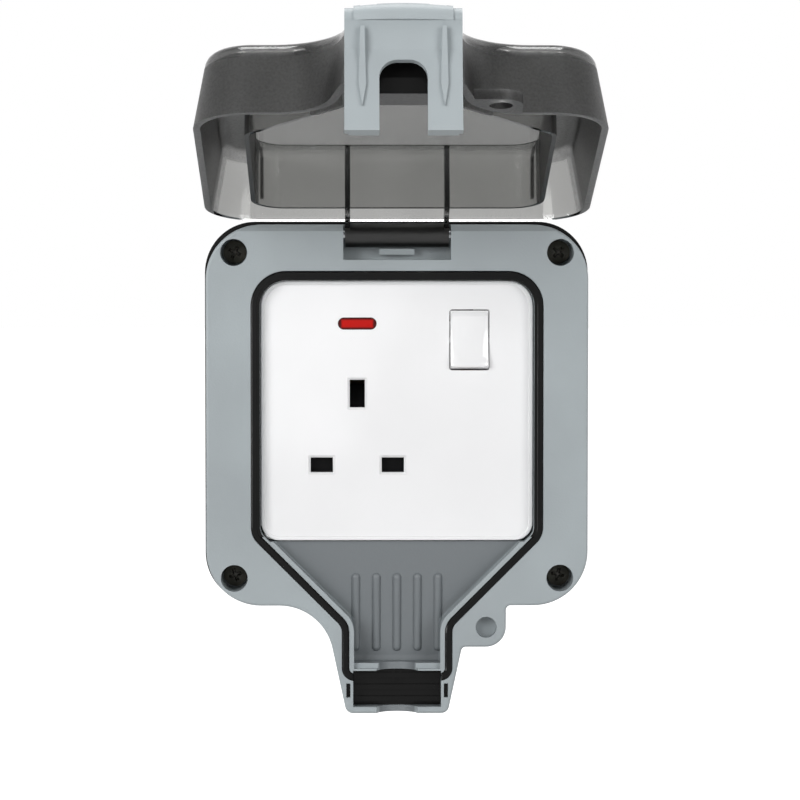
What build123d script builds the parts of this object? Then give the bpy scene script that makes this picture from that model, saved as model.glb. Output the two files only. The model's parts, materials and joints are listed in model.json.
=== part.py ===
"""Outdoor weatherproof socket: a single switched 13 A outlet behind a hinged, latched lid.

Frame: X to the right, Y into the wall, Z up. The origin is the centre of the back face of the
back box, on the wall. A depth is a distance in front of the wall, so a point at depth d has y = -d.
Millimetres.
"""

import math
import os

from build123d import *

# Enclosure outline, seen from the front
half_width = 59.5
half_height = 59.4
corner_radius = 17.0
neck_root = 23.1
neck_end = 15.8
neck_bottom = -93.2
neck_corner = 2.5
neck_flare = 17.0
ear_right = 34.0
ear_bottom = -72.4
ear_corner = 6.3
ear_root_radius = 1.5
padlock_x = 27.8
padlock_z = -66.2
padlock_radius = 3.3

# Depth levels in front of the wall
box_depth = 30.0
seal_thickness = 2.0
frame_depth = 18.0
neck_thickness = 13.5
plate_recess = 3.5
lid_gap = 0.8
lid_depth = 22.1

# Walls
box_wall = 2.5
frame_wall = 2.5
panel_thickness = 4.5
lid_wall = 2.0

# Lid gasket path: well, 45 degree funnel and neck
seal_half_width = 45.6
seal_top = 45.1
seal_kink = 37.8
seal_neck = 17.3
seal_bottom = -83.0
seal_corner = 11.0
seal_kink_radius = 7.0
seal_neck_radius = 4.0
seal_bottom_radius = 4.0
least_radius = 0.2
channel_width = 2.4
channel_depth = 3.0
well_lip = 0.5
funnel_lip = 1.4
well_wall = 1.4
gasket_fit = 0.1
gasket_proud = 0.5
gasket_edge = 0.5
gasket_flap = 0.4

# Funnel below the socket front, and its ribs
funnel_top = -39.5
funnel_top_drop = 5.0
funnel_end = -76.0
funnel_end_drop = 10.5
funnel_floor = 2.2
rib_count = 5
rib_pitch = 6.45
rib_width = 2.9
rib_top = -49.6
rib_end = -74.8
rib_height = 1.0

# Cable exit
cable_radius = 6.5
neck_land = 2.2
neck_land_height = 8.5
grommet_half_width = 13.75
grommet_top = -79.8
grommet_bottom = -91.2
grommet_floor_wall = 2.0
grommet_drop = 6.0
grommet_ridge = 0.8
grommet_rib_x = 1.06
grommet_rib_length = 4.2
grommet_fit = 0.1
lug_inner = 14.6
lug_outer = 15.9
lug_top = -83.8
lug_bottom = -88.2
lug_root = 2.5
lug_drop = 1.5
lid_grommet_reach = 4.0
lid_grommet_height = 12.0

# Corner screws that close the enclosure
screw_edge_x = 8.7
screw_edge_z = 8.6
screw_recess_radius = 4.2
screw_drop = 14.5
screw_head_radius = 3.7
screw_head_height = 2.6
screw_radius = 1.75
screw_length = 23.0
screw_clearance = 0.25
post_wall = 1.3
front_round = 0.8

# Hinge
hinge_behind = 4.7
hinge_below_top = 3.3
hinge_pin_radius = 1.5
hinge_pin_half = 20.5
hinge_fit = 0.08
barrel_radius = 3.75
arm_outer = 16.2
arm_thickness = 1.6
pocket_half_width = 16.75
pocket_height = 10.9
pocket_depth = 10.0
pocket_wall = 2.0
pin_boss = 4.25
tab_half_width = 5.5
tab_height = 1.9
tab_rise = 1.5
open_angle = 105.0
top_chamfer = 2.0

# Lid
lid_draft = 10.0
lid_edge_radius = 4.5
lid_inner_radius = 2.5
lid_neck_corner = 9.0
skirt_inset = 0.6
skirt_thickness = 1.3
lid_ear_thickness = 3.0

# Latch
latch_half_width = 16.1
latch_roll_radius = 3.0
latch_thickness = 2.2
latch_gap = 1.1
latch_crown = 1.4
latch_crown_end = 0.6
latch_crown_drop = 1.6
latch_fairing = 12.0
latch_fairing_sag = 1.3
latch_crown_half_width = 13.6
latch_pin_radius = 1.2
latch_pin_below = 6.6
latch_pin_out = 3.3
latch_fit = 0.06
latch_reach = 17.1
latch_tooth = 2.6
latch_tooth_height = 2.2
latch_foot_band = 2.0
latch_rest_angle = 5.0
latch_u_half_width = 6.6
latch_u_rise = 3.6
latch_u_corner = 5.0
latch_rib_x = 11.2
latch_rib_top_width = 1.2
latch_rib_width = 2.0
latch_rib_height = 0.9
latch_rib_low = 7.2
latch_rib_top = 3.4
latch_panel_step = 0.5
lug_x = 9.5
lug_width = 4.0
lug_depth = 11.0
lug_turn = 40.0
lug_clearance = 0.35

# Back box
box_inset = 0.1
box_corner = 15.5
boss_radius = 4.5
wall_hole_radius = 2.5
wall_hole_pitch = 80.0
wall_pad_radius = 6.0
wall_pad_height = 1.5
knockout_radius = 10.25
knockout_depth = 0.8
seal_proud = 0.9
seal_corner_outer = 16.0

# Socket front
plate_fit = 0.3
plate_bottom = -39.2
plate_top_radius = 7.8
plate_bottom_radius = 5.5
plate_thickness = 4.0
plate_bevel = 1.2
flange_half_width = 45.0
flange_top = 44.5
flange_bottom = -35.0
flange_thickness = 2.5
flange_step = 0.8
flange_gap = 0.2
module_screw_x = 49.5
module_screw_z = 8.0
module_lug_radius = 5.0
module_screw_radius = 1.45
module_head_radius = 3.2
module_head_height = 2.2
module_pilot_cover = 1.5

# Pin slots, 13 A three-pin pattern
pin_pitch = 22.2
earth_offset = 22.3
socket_x = -12.4
earth_z = 6.7
earth_slot = (4.7, 8.65)
line_slot = (6.95, 4.63)
slot_bevel = 0.7
clip_wall = 0.7
earth_clip = (4.2, 8.2)
line_clip = (6.6, 4.2)
clip_slit = 2.6
clip_behind = 10.0

# Neon window
neon_z = 28.6
neon_width = 12.1
neon_height = 3.8
neon_fit = 0.15
neon_proud = 0.25
neon_flange = 0.8
lamp_radius = 1.9
lamp_length = 11.0
lamp_behind = 7.2
resistor_z = 33.6
resistor_radius = 1.1
resistor_length = 7.0

# Switch
switch_x = 22.6
switch_z = 23.5
switch_width = 12.5
switch_height = 19.0
switch_corner = 0.9
switch_gap = 0.3
rocker_pivot_behind = 2.0
rocker_proud = 0.9
rocker_thickness = 5.3
rocker_dish = 0.7
rocker_dish_radius = 40.0
switch_throw = 18.0
trunnion_radius = 1.2
trunnion_length = 1.5
trunnion_fit = 0.08
stem_half = 3.2
stem_behind = 10.5
plunger_radius = 1.5
plunger_fit = 0.1
plunger_tip_gap = 0.4
plunger_length = 7.2
plunger_bore_behind = 5.0
lever_behind = 16.5
lever_thickness = 0.8
lever_width = 4.0
lever_up = 8.6
lever_down = 7.5
lever_throw = 12.0
lever_pin_radius = 0.8
lever_fit = 0.1
contact_above = 7.1
contact_radius = 1.5
contact_height = 0.7
contact_gap = 0.2
stand_wall = 0.8

# Rear housing of the socket module
housing_left = -38.5
housing_right = 35.5
housing_bottom = -34.0
housing_top = 36.0
module_depth = 26.0
housing_floor = 1.5
housing_gap = 0.2
housing_screw_edge = 3.5
housing_boss_radius = 2.8
housing_boss_length = 8.0
housing_screw_radius = 1.4
housing_head_radius = 2.7
housing_head_height = 2.2
pocket_gap = 0.2

# Conductors and terminals
strip_thickness = 0.8
strip_width = 4.0
block_side = 8.0
block_height = 9.0
terminal_screw_radius = 1.7
terminal_head_radius = 2.2
terminal_fit = 0.05
terminal_screw_length = 5.0
wire_radius = 2.0
neutral_terminal_z = -26.8
earth_terminal_z = 21.9
live_terminal_z = -24.0

# Shutter
shutter_left = -30.8
shutter_right = 6.2
shutter_top = -11.0
shutter_bottom = -20.0
shutter_behind = 5.2
shutter_thickness = 4.1
shutter_arm_half = 3.0
shutter_ramp_start = 2.5
shutter_ramp_end = 9.5
shutter_travel = 5.5
shutter_clearance = 0.3
spring_behind = 7.0
spring_radius = 1.6
spring_wire = 0.35
spring_end = -31.3
spring_turns = 6
plunger_spring_turns = 3
wire_sides = 5

# Derived levels
frame_back = box_depth + seal_thickness
front_plane = frame_back + frame_depth
rim_plane = front_plane + lid_gap
lid_top = rim_plane + lid_depth
panel_back = front_plane - panel_thickness
neck_back = front_plane - neck_thickness
plate_face = front_plane - plate_recess
plate_back = plate_face - plate_thickness
flange_front = plate_back + flange_step
flange_back = flange_front - flange_thickness
well_back = flange_front + flange_gap
funnel_top_depth = front_plane - funnel_top_drop
funnel_end_depth = front_plane - funnel_end_drop
grommet_floor = neck_back + grommet_floor_wall
grommet_face = front_plane - grommet_drop
screw_seat = front_plane - screw_drop
hinge_depth = front_plane - hinge_behind
hinge_z = half_height - hinge_below_top
pocket_floor = front_plane - pocket_depth
pocket_bottom = half_height - pocket_height
latch_pin_depth = lid_top - latch_pin_below
latch_pin_z = neck_bottom - latch_pin_out
latch_u_top = rim_plane + latch_u_rise

# Derived sizes of the enclosure
well_inset = channel_width + well_lip
funnel_inset = channel_width + funnel_lip
plate_half_width = seal_half_width - well_inset - plate_fit
plate_top = seal_top - well_inset - plate_fit
neck_slope = (neck_root - neck_end) / (-half_height - neck_bottom)
neck_at_ear = neck_end + (ear_bottom - neck_bottom) * neck_slope
screw_x = half_width - screw_edge_x
screw_z = half_height - screw_edge_z
screw_corners = [(sx * screw_x, sz * screw_z) for sx in (-1, 1) for sz in (-1, 1)]

# Derived places in the socket module
neutral_x = socket_x - pin_pitch / 2
live_x = socket_x + pin_pitch / 2
line_z = earth_z - earth_offset
housing_back = plate_face - module_depth
inner_floor = housing_back + housing_floor
strip_front = inner_floor + strip_thickness
clip_top = plate_face - clip_behind
lamp_depth = plate_face - lamp_behind
rocker_pivot_depth = plate_face - rocker_pivot_behind
rocker_front = plate_face + rocker_proud
rocker_back = rocker_front - rocker_thickness
rocker_radius = switch_height / 2 - switch_gap
stem_end = plate_face - stem_behind
lever_depth = plate_face - lever_behind
plunger_tip = lever_depth + lever_thickness / 2 + plunger_tip_gap
plunger_back = plunger_tip + plunger_length
plunger_bore_end = plate_face - plunger_bore_behind
contact_z = switch_z + contact_above
shutter_front = plate_face - shutter_behind
shutter_back = shutter_front - shutter_thickness
spring_depth = plate_face - spring_behind
parts = {}


def at_depth(depth):
    """Plane parallel to the wall, facing the viewer, with X to the right and Z up."""
    return Plane(origin=(0, -depth, 0), x_dir=(1, 0, 0), z_dir=(0, -1, 0))


def slab(outline, back, front):
    """An outline drawn in (x, z), made solid between two depths."""
    return extrude(at_depth(back) * outline, front - back)


def side_bar(profile, width, x=0.0):
    """A profile drawn in (depth, z), made solid over a width centred on x."""
    plane = Plane(origin=(x, 0, 0), x_dir=(0, -1, 0), z_dir=(-1, 0, 0))
    return extrude(plane * profile, width / 2, both=True)


def rectangle(left, right, bottom, top):
    """A rectangle given by its four sides."""
    return Pos((left + right) / 2, (bottom + top) / 2) * Rectangle(right - left, top - bottom)


def disc(x, z, radius):
    """A circle at a place."""
    return Pos(x, z) * Circle(radius)


def polygon(*points):
    """A face with straight sides."""
    return make_face(Polyline(*points, close=True))


def x_rod(radius, left, right, depth, z):
    """A cylinder along X."""
    return side_bar(disc(depth, z, radius), right - left, (left + right) / 2)


def z_rod(radius, bottom, top, x, depth):
    """A cylinder along Z."""
    return Pos(x, -depth, (bottom + top) / 2) * Cylinder(radius, top - bottom)


def z_prism(outline, bottom, top):
    """An outline drawn in (x, depth), made solid between two heights."""
    plane = Plane(origin=(0, 0, top), x_dir=(1, 0, 0), z_dir=(0, 0, -1))
    return extrude(plane * outline, top - bottom)


def both_sides(shape):
    """A shape and its mirror image about the centre line."""
    return shape + mirror(shape, about=Plane.YZ)


def turned(shape, depth, z, angle):
    """A shape turned about an axis along X; a positive angle lifts what hangs in front."""
    return Pos(0, -depth, z) * Rot(X=-angle) * Pos(0, depth, -z) * shape


def enclosure_outline():
    """Outline of the front frame: rounded square, flared cable neck and padlock ear."""
    points = [
        (-half_width, half_height),
        (half_width, half_height),
        (half_width, -half_height),
        (ear_right, -half_height),
        (ear_right, ear_bottom),
        (neck_at_ear, ear_bottom),
        (neck_end, neck_bottom),
        (-neck_end, neck_bottom),
        (-neck_root, -half_height),
        (-half_width, -half_height),
    ]
    radii = [corner_radius] * 3 + [ear_root_radius, ear_corner, ear_root_radius]
    radii += [neck_corner] * 2 + [neck_flare, corner_radius]
    return make_face(FilletPolyline(*points, radius=radii, close=True))


def lid_outline(inset):
    """Outline of the lid shell, the same square and neck without the ear, moved in by an inset."""
    slant = math.hypot(1, neck_slope)
    low = neck_bottom + inset
    high = -half_height + inset
    root = neck_root - inset * slant - inset * neck_slope
    end = neck_end - inset * slant + inset * neck_slope
    right = half_width - inset
    right_side = [(right, half_height - inset), (right, high), (root, high), (end, low)]
    left_side = [(-x, z) for x, z in reversed(right_side)]
    radii = [corner_radius - inset] * 2 + [neck_flare + inset, lid_neck_corner - inset]
    return make_face(FilletPolyline(*right_side, *left_side, radius=radii + radii[::-1], close=True))


def seal_outline(inset):
    """Outer edge of the gasket path, moved in by an inset: well, 45 degree funnel and neck."""
    rise = inset * math.tan(math.radians(22.5))
    neck_top = -seal_kink - (seal_half_width - seal_neck)
    right_side = [
        (seal_half_width - inset, seal_top - inset),
        (seal_half_width - inset, -seal_kink + rise),
        (seal_neck - inset, neck_top + rise),
        (seal_neck - inset, seal_bottom + inset),
    ]
    left_side = [(-x, z) for x, z in reversed(right_side)]
    radii = [seal_corner - inset, seal_kink_radius - inset]
    radii += [seal_neck_radius + inset, max(seal_bottom_radius - inset, least_radius)]
    return make_face(FilletPolyline(*right_side, *left_side, radius=radii + radii[::-1], close=True))


def funnel_depth(z):
    """Depth of the funnel floor at a height."""
    share = (funnel_top - z) / (funnel_top - funnel_end)
    return funnel_top_depth + share * (funnel_end_depth - funnel_top_depth)


def make_back_box():
    """Rear enclosure: open tray with screw bosses, wall fixings and knock-outs."""
    width = 2 * (half_width + seal_proud - box_inset)
    height = 2 * (half_height + seal_proud - box_inset)
    box = slab(RectangleRounded(width, height, box_corner), 0, box_depth)
    inner_corner = box_corner - box_wall
    inside = RectangleRounded(width - 2 * box_wall, height - 2 * box_wall, inner_corner)
    box -= slab(inside, box_wall, box_depth)
    for x, z in screw_corners:
        box += slab(disc(x, z, boss_radius), box_wall / 2, box_depth)
        pilot_end = screw_seat - screw_length - screw_clearance
        box -= slab(disc(x, z, screw_radius + gasket_fit), pilot_end, box_depth)
    for x, z in wall_holes():
        box += slab(disc(x, z, wall_pad_radius), box_wall / 2, box_wall + wall_pad_height)
        box -= slab(disc(x, z, wall_hole_radius), 0, box_wall + wall_pad_height)
    for turn in range(4):
        reach = width / 2 if turn % 2 == 0 else height / 2
        outside = Plane(origin=(0, -box_depth / 2, 0)) * Rot(Y=90 * turn) * Pos(reach, 0, 0)
        box -= outside * Rot(Y=90) * extrude(Circle(knockout_radius), -knockout_depth)
    return box


def wall_holes():
    """Places of the four wall fixings."""
    half = wall_hole_pitch / 2
    return [(sx * half, sz * half) for sx in (-1, 1) for sz in (-1, 1)]


def make_box_seal():
    """Seal between back box and front frame, standing a little proud all round."""
    outer = RectangleRounded(
        2 * (half_width + seal_proud), 2 * (half_height + seal_proud), seal_corner_outer
    )
    inner = RectangleRounded(
        2 * (half_width - frame_wall), 2 * (half_height - frame_wall), corner_radius - frame_wall
    )
    return slab(outer - inner, box_depth, frame_back)


def make_front_frame():
    """Front moulding: panel, skirt, well, gasket channel, funnel, neck, ear and hinge pocket."""
    square = RectangleRounded(2 * half_width, 2 * half_height, corner_radius)
    face = slab(enclosure_outline(), neck_back, front_plane)
    face = fillet(face.faces().sort_by(Axis.Y)[0].edges(), front_round)
    frame = face + slab(square, frame_back, panel_back)
    inside = RectangleRounded(
        2 * (half_width - frame_wall), 2 * (half_height - frame_wall), corner_radius - frame_wall
    )
    frame -= slab(inside, frame_back, panel_back)

    # Posts of the corner screws and of the module screws
    inner_front = front_plane - panel_thickness / 2
    for x, z in screw_corners:
        frame += slab(disc(x, z, screw_recess_radius + post_wall) & square, frame_back, inner_front)
    for side in (-1, 1):
        post = disc(side * module_screw_x, module_screw_z, module_lug_radius)
        frame += slab(post, flange_front, inner_front)

    # Walls of the well and of the hinge pocket
    frame += slab(seal_outline(-well_wall) & square, well_back, inner_front)
    pocket_out = pocket_half_width + pin_boss
    pocket_walls = rectangle(-pocket_out, pocket_out, pocket_bottom - pocket_wall, half_height)
    frame += slab(pocket_walls, pocket_floor - pocket_wall, inner_front)

    frame += funnel_floor_solid()
    frame -= neck_hollow()
    frame -= well_opening()
    for rib in funnel_ribs():
        frame += rib

    # Gasket channel, grommet pocket with its lug slots, cable notches
    channel = seal_outline(0) - seal_outline(channel_width)
    frame -= slab(channel, front_plane - channel_depth, front_plane)
    pocket = rectangle(-grommet_half_width, grommet_half_width, grommet_bottom, grommet_top)
    frame -= slab(pocket, grommet_floor, front_plane)
    slot = rectangle(lug_inner, lug_outer, lug_bottom, lug_top)
    frame -= both_sides(slab(slot, grommet_floor, front_plane))
    tunnel = rectangle(-lug_outer, lug_outer, lug_bottom, lug_top)
    frame -= slab(tunnel, grommet_floor, grommet_floor + lug_root)
    land_half = seal_neck - funnel_inset
    land = rectangle(-land_half, land_half, grommet_top, grommet_top + neck_land)
    frame += slab(land, grommet_floor, funnel_end_depth + neck_land_height)
    frame -= z_rod(cable_radius, neck_bottom, grommet_top + neck_land, 0, rim_plane)

    # Hinge pocket, open at the top, with a locating tab and pin holes
    hinge_pocket = rectangle(-pocket_half_width, pocket_half_width, pocket_bottom, lid_top)
    frame -= slab(hinge_pocket, pocket_floor, front_plane)
    tab_low = pocket_bottom + tab_rise
    tab = rectangle(-tab_half_width, tab_half_width, tab_low, tab_low + tab_height)
    frame += slab(tab, pocket_floor, pocket_floor + 2 * tab_height)
    frame -= x_rod(hinge_pin_radius, -hinge_pin_half, hinge_pin_half, hinge_depth, hinge_z)

    # Screw recesses, module pilots, padlock recess, chamfer that clears the opening lid
    for x, z in screw_corners:
        frame -= slab(disc(x, z, screw_recess_radius), screw_seat, front_plane)
        frame -= slab(disc(x, z, screw_radius + screw_clearance), frame_back, screw_seat)
    for side in (-1, 1):
        pilot = disc(side * module_screw_x, module_screw_z, module_screw_radius)
        frame -= slab(pilot, flange_front, front_plane - module_pilot_cover)
    frame -= slab(disc(padlock_x, padlock_z, padlock_radius), panel_back, front_plane)
    wedge = polygon(
        (front_plane, half_height - top_chamfer),
        (front_plane - top_chamfer, half_height),
        (front_plane, half_height),
    )
    frame -= side_bar(wedge, 2 * half_width)
    return frame


def funnel_floor_solid():
    """Floor of the funnel inside the enclosure, which falls from the socket front to the neck."""
    profile = polygon(
        (funnel_top_depth, funnel_top),
        (funnel_depth(-half_height), -half_height),
        (funnel_depth(-half_height) - funnel_floor, -half_height),
        (funnel_top_depth - funnel_floor, funnel_top),
    )
    return side_bar(profile, 2 * seal_half_width) & slab(seal_outline(0), 0, front_plane)


def neck_hollow():
    """Hollow behind the funnel floor in the neck."""
    top = -half_height - frame_wall
    profile = polygon(
        (neck_back, top),
        (funnel_depth(top) - funnel_floor, top),
        (funnel_end_depth - funnel_floor, funnel_end),
        (neck_back, funnel_end),
    )
    return side_bar(profile, 2 * (seal_neck - funnel_inset))


def well_opening():
    """Space cut from the front: the well round the socket front, the funnel and the neck."""
    below_floor = polygon(
        (0, funnel_top),
        (funnel_top_depth, funnel_top),
        (funnel_end_depth, funnel_end),
        (funnel_end_depth, neck_bottom),
        (0, neck_bottom),
    )
    well = seal_outline(well_inset) & rectangle(-half_width, half_width, funnel_top, half_height)
    outline = well + seal_outline(funnel_inset)
    return slab(outline, frame_back, front_plane) - side_bar(below_floor, 2 * half_width)


def funnel_ribs():
    """Half-round ribs with round ends along the sloping floor."""
    radius = rib_width / 2
    slope = math.atan2(funnel_top_depth - funnel_end_depth, funnel_top - funnel_end)
    length = (rib_top - rib_end - rib_width) / math.cos(slope)
    rod = Cylinder(radius, length)
    for end in (-1, 1):
        rod += Pos(0, 0, end * length / 2) * Sphere(radius)
    middle = (rib_top + rib_end) / 2
    depth = funnel_depth(middle) + rib_height - radius
    ribs = []
    for number in range(rib_count):
        x = (number - (rib_count - 1) / 2) * rib_pitch
        ribs.append(Pos(x, -depth, middle) * Rot(X=math.degrees(slope)) * rod)
    return ribs


def make_frame_screws():
    """Four corner screws from the frame into the back box."""
    screws = []
    for x, z in screw_corners:
        head = slab(disc(x, z, screw_head_radius), screw_seat, screw_seat + screw_head_height)
        screws.append(head + slab(disc(x, z, screw_radius), screw_seat - screw_length, screw_seat))
    return Compound(children=screws)


def make_lid_gasket():
    """Rubber gasket in the channel, a horseshoe that ends at the grommet, with a flap over the well's lip."""
    band = seal_outline(gasket_fit) - seal_outline(channel_width - gasket_fit)
    band -= rectangle(-grommet_half_width, grommet_half_width, seal_bottom, grommet_top)
    gasket = slab(band, front_plane - channel_depth, front_plane + gasket_proud)
    gasket = chamfer(gasket.faces().sort_by(Axis.Y)[0].edges(), gasket_edge)
    flap = seal_outline(channel_width - gasket_edge) - seal_outline(well_inset)
    flap &= rectangle(-half_width, half_width, -seal_kink, half_height)
    return gasket + slab(flap, front_plane, front_plane + gasket_flap)


def make_cable_grommet():
    """Soft block in the neck of the frame, with lugs in the side slots and ridges across the cable."""
    edge = grommet_half_width - grommet_fit
    low = grommet_bottom + grommet_fit
    high = grommet_top - grommet_fit
    block = slab(rectangle(-edge, edge, low, high), grommet_floor, grommet_face)
    lug_low = lug_bottom + grommet_fit
    lug_high = lug_top - grommet_fit
    root = rectangle(-lug_outer + grommet_fit, lug_outer - grommet_fit, lug_low, lug_high)
    block += slab(root, grommet_floor, grommet_floor + lug_root - grommet_fit)
    lug = rectangle(lug_inner + grommet_fit, lug_outer - grommet_fit, lug_low, lug_high)
    block += both_sides(slab(lug, grommet_floor, front_plane - lug_drop))
    for step in range(3):
        z = high - (step + 0.5) * (high - low) / 3
        ridge = rectangle(-edge, edge, z - grommet_ridge, z + grommet_ridge)
        block += slab(ridge, grommet_face - grommet_ridge, grommet_face + grommet_ridge)
    rib_half = grommet_ridge / 2
    rib = rectangle(grommet_rib_x - rib_half, grommet_rib_x + rib_half, high - grommet_rib_length, high)
    return block + both_sides(slab(rib, grommet_face - grommet_ridge, grommet_face + grommet_ridge))


def lid_form(inset, top, edge_radius):
    """The tapered form of the lid from its rim to a roof with rounded edges, moved in by an inset."""
    form = slab(lid_outline(inset), rim_plane, top)
    walls = form.faces().sort_by(Axis.Y)[1:-1]
    form = draft(walls, at_depth(rim_plane), lid_draft)
    return fillet(form.faces().sort_by(Axis.Y)[0].edges(), edge_radius)


def make_lid():
    """Lid shell with inner skirt, webs, hinge barrel, padlock ear and latch lugs, drawn closed."""
    shell = lid_form(0, lid_top, lid_edge_radius)
    cavity = lid_form(lid_wall, lid_top - lid_wall, lid_inner_radius)
    lug_radius = latch_roll_radius - lug_clearance / 2
    lug_end = latch_pin_z + lug_depth
    lug_profile = disc(latch_pin_depth, latch_pin_z, lug_radius) + polygon(
        (latch_pin_depth - lug_radius, latch_pin_z),
        (latch_pin_depth - lug_radius, lug_end),
        (latch_pin_depth + lug_radius / 2, lug_end),
        (latch_pin_depth + lug_radius / 2, latch_pin_z + 1.5 * lug_radius),
        (latch_pin_depth + lug_radius, latch_pin_z),
    )
    lid = shell + both_sides(side_bar(lug_profile, lug_width, lug_x)) - cavity

    skirt = seal_outline(skirt_inset) - seal_outline(skirt_inset + skirt_thickness)
    skirt -= rectangle(-seal_neck, seal_neck, seal_bottom, grommet_top)
    arm_inner = arm_outer - arm_thickness
    web = rectangle(arm_inner, arm_outer, seal_top - skirt_thickness, half_height - lid_wall / 2)
    cross_rib = rectangle(-seal_neck, seal_neck, grommet_top, grommet_top + lid_wall)
    inner = slab(skirt + both_sides(web) + cross_rib, rim_plane, lid_top - lid_wall / 2)
    lid += inner & shell

    ear = rectangle(0, ear_right, ear_bottom, -half_height + corner_radius)
    ear = fillet(ear.vertices().sort_by(Axis.Y)[:2].sort_by(Axis.X)[1:], ear_corner)
    ear -= lid_outline(lid_wall / 2)
    ear -= disc(padlock_x, padlock_z, padlock_radius)
    ear &= rectangle(neck_end, half_width, neck_bottom, -half_height + lid_wall)
    lid += slab(ear, rim_plane, rim_plane + lid_ear_thickness)

    arm_profile = disc(hinge_depth, hinge_z, barrel_radius) + polygon(
        (hinge_depth, hinge_z - barrel_radius),
        (rim_plane + lid_wall, hinge_z - barrel_radius),
        (rim_plane + lid_wall, half_height - lid_wall / 2),
        (rim_plane, half_height),
        (front_plane - top_chamfer, half_height),
        (hinge_depth, hinge_z),
    )
    lid += both_sides(side_bar(arm_profile, arm_thickness, arm_outer - arm_thickness / 2))
    lid += x_rod(barrel_radius, -arm_outer, arm_outer, hinge_depth, hinge_z)
    lid -= x_rod(hinge_pin_radius + hinge_fit, -arm_outer, arm_outer, hinge_depth, hinge_z)

    lid -= x_rod(latch_pin_radius, -latch_half_width, latch_half_width, latch_pin_depth, latch_pin_z)
    lid -= z_rod(cable_radius, neck_bottom, grommet_top + lid_wall, 0, rim_plane)
    return lid


def make_lid_grommet():
    """Soft block in the neck of the lid; its nose closes on the cable."""
    low = grommet_bottom + 2 * grommet_fit
    high = grommet_top - 2 * grommet_fit
    nose = grommet_half_width - 5 * grommet_fit
    outline = rectangle(-nose, nose, low, high)
    block = slab(outline, rim_plane, rim_plane + lid_grommet_height)
    block &= lid_form(lid_wall + grommet_fit, lid_top - lid_wall, lid_inner_radius)
    outline &= lid_outline(lid_wall + grommet_fit)
    return block + slab(outline, rim_plane - lid_grommet_reach, rim_plane)


def make_latch():
    """Latch that swings on the lid: barrel crown, hollowed panel with a U for the cable, hook feet."""
    inner = neck_bottom - latch_gap
    outer = inner - latch_thickness
    foot = rim_plane - latch_reach
    crown_radius = latch_roll_radius + latch_crown
    end_radius = latch_roll_radius + latch_crown_end
    low = latch_pin_z - crown_radius
    panel = rectangle(foot, latch_pin_depth, outer, inner)
    roll = disc(latch_pin_depth, latch_pin_z, latch_roll_radius)
    latch = side_bar(panel + roll, 2 * latch_half_width)

    # Crown over the front of the roll, fuller in the middle than at its ends
    half = latch_crown_half_width
    arc = ThreePointArc((-half, end_radius), (0, crown_radius), (half, end_radius))
    sides = Polyline((half, end_radius), (half, 0), (-half, 0), (-half, end_radius))
    crown = revolve(make_face([arc, sides]), Axis.X)
    crown = Pos(0, -latch_pin_depth, latch_pin_z) * crown
    crown_start = latch_pin_depth - latch_crown_drop
    crown_room = rectangle(crown_start, latch_pin_depth + crown_radius, low, latch_pin_z)
    latch += crown & side_bar(crown_room, 2 * half)

    # Hollow sweep from under the crown down to the panel
    lip = latch_pin_z - end_radius + latch_panel_step
    fairing_end = crown_start - latch_fairing
    middle = (crown_start - latch_fairing / 2, (lip + outer) / 2 + latch_fairing_sag)
    sweep = ThreePointArc((crown_start, lip), middle, (fairing_end, outer))
    back = Polyline((fairing_end, outer), (fairing_end, inner), (crown_start, inner), (crown_start, lip))
    latch += side_bar(make_face([sweep, back]), 2 * latch_half_width)

    foot_band = rectangle(foot, foot + latch_foot_band, outer - latch_panel_step, inner)
    latch += side_bar(foot_band, 2 * latch_half_width)
    tooth = polygon(
        (foot, inner),
        (foot, inner + latch_tooth / 2),
        (foot + latch_tooth_height, inner + latch_tooth),
        (foot + latch_tooth_height, inner),
    )
    latch += side_bar(tooth, 2 * (neck_end - lid_gap))

    # Ribs that widen downwards to a point
    rib_top = latch_pin_depth - latch_rib_top
    rib_low = foot + latch_rib_low
    rib_wide = rib_low + 3 * latch_rib_width
    rib = polygon(
        (latch_rib_x - latch_rib_top_width / 2, rib_top),
        (latch_rib_x + latch_rib_top_width / 2, rib_top),
        (latch_rib_x + latch_rib_width / 2, rib_wide),
        (latch_rib_x, rib_low),
        (latch_rib_x - latch_rib_width / 2, rib_wide),
    )
    rib_profile = polygon(
        (rib_top, inner),
        (rib_top, lip - latch_panel_step),
        (fairing_end, outer - latch_rib_height),
        (rib_low, outer - latch_rib_height),
        (rib_low, inner),
    )
    latch += both_sides(z_prism(rib, low, inner) & side_bar(rib_profile, 2 * latch_half_width))

    u_shape = RectangleRounded(2 * latch_u_half_width, 2 * (latch_u_top - foot), latch_u_corner)
    latch -= z_prism(Pos(0, foot) * u_shape, low, neck_bottom + latch_tooth)

    # Room for the lugs of the lid at every angle of the latch
    slot_radius = latch_roll_radius + lug_clearance / 2
    room = disc(latch_pin_depth, latch_pin_z, slot_radius)
    room += rectangle(latch_pin_depth - slot_radius, latch_pin_depth, latch_pin_z, neck_bottom)
    far = 3 * latch_roll_radius
    room += Pos(latch_pin_depth, latch_pin_z) * Rot(Z=90 - lug_turn) * rectangle(
        lug_clearance / 2, far, -far, far
    )
    slot_width = lug_width + 2 * lug_clearance
    latch -= both_sides(side_bar(room, slot_width, lug_x))
    bore = latch_pin_radius + latch_fit
    latch -= x_rod(bore, -latch_half_width, latch_half_width, latch_pin_depth, latch_pin_z)
    return turned(latch, latch_pin_depth, latch_pin_z, latch_rest_angle)


def on_lid(shape):
    """Carry a piece drawn on the closed lid to the open lid."""
    return turned(shape, hinge_depth, hinge_z, open_angle)


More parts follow.
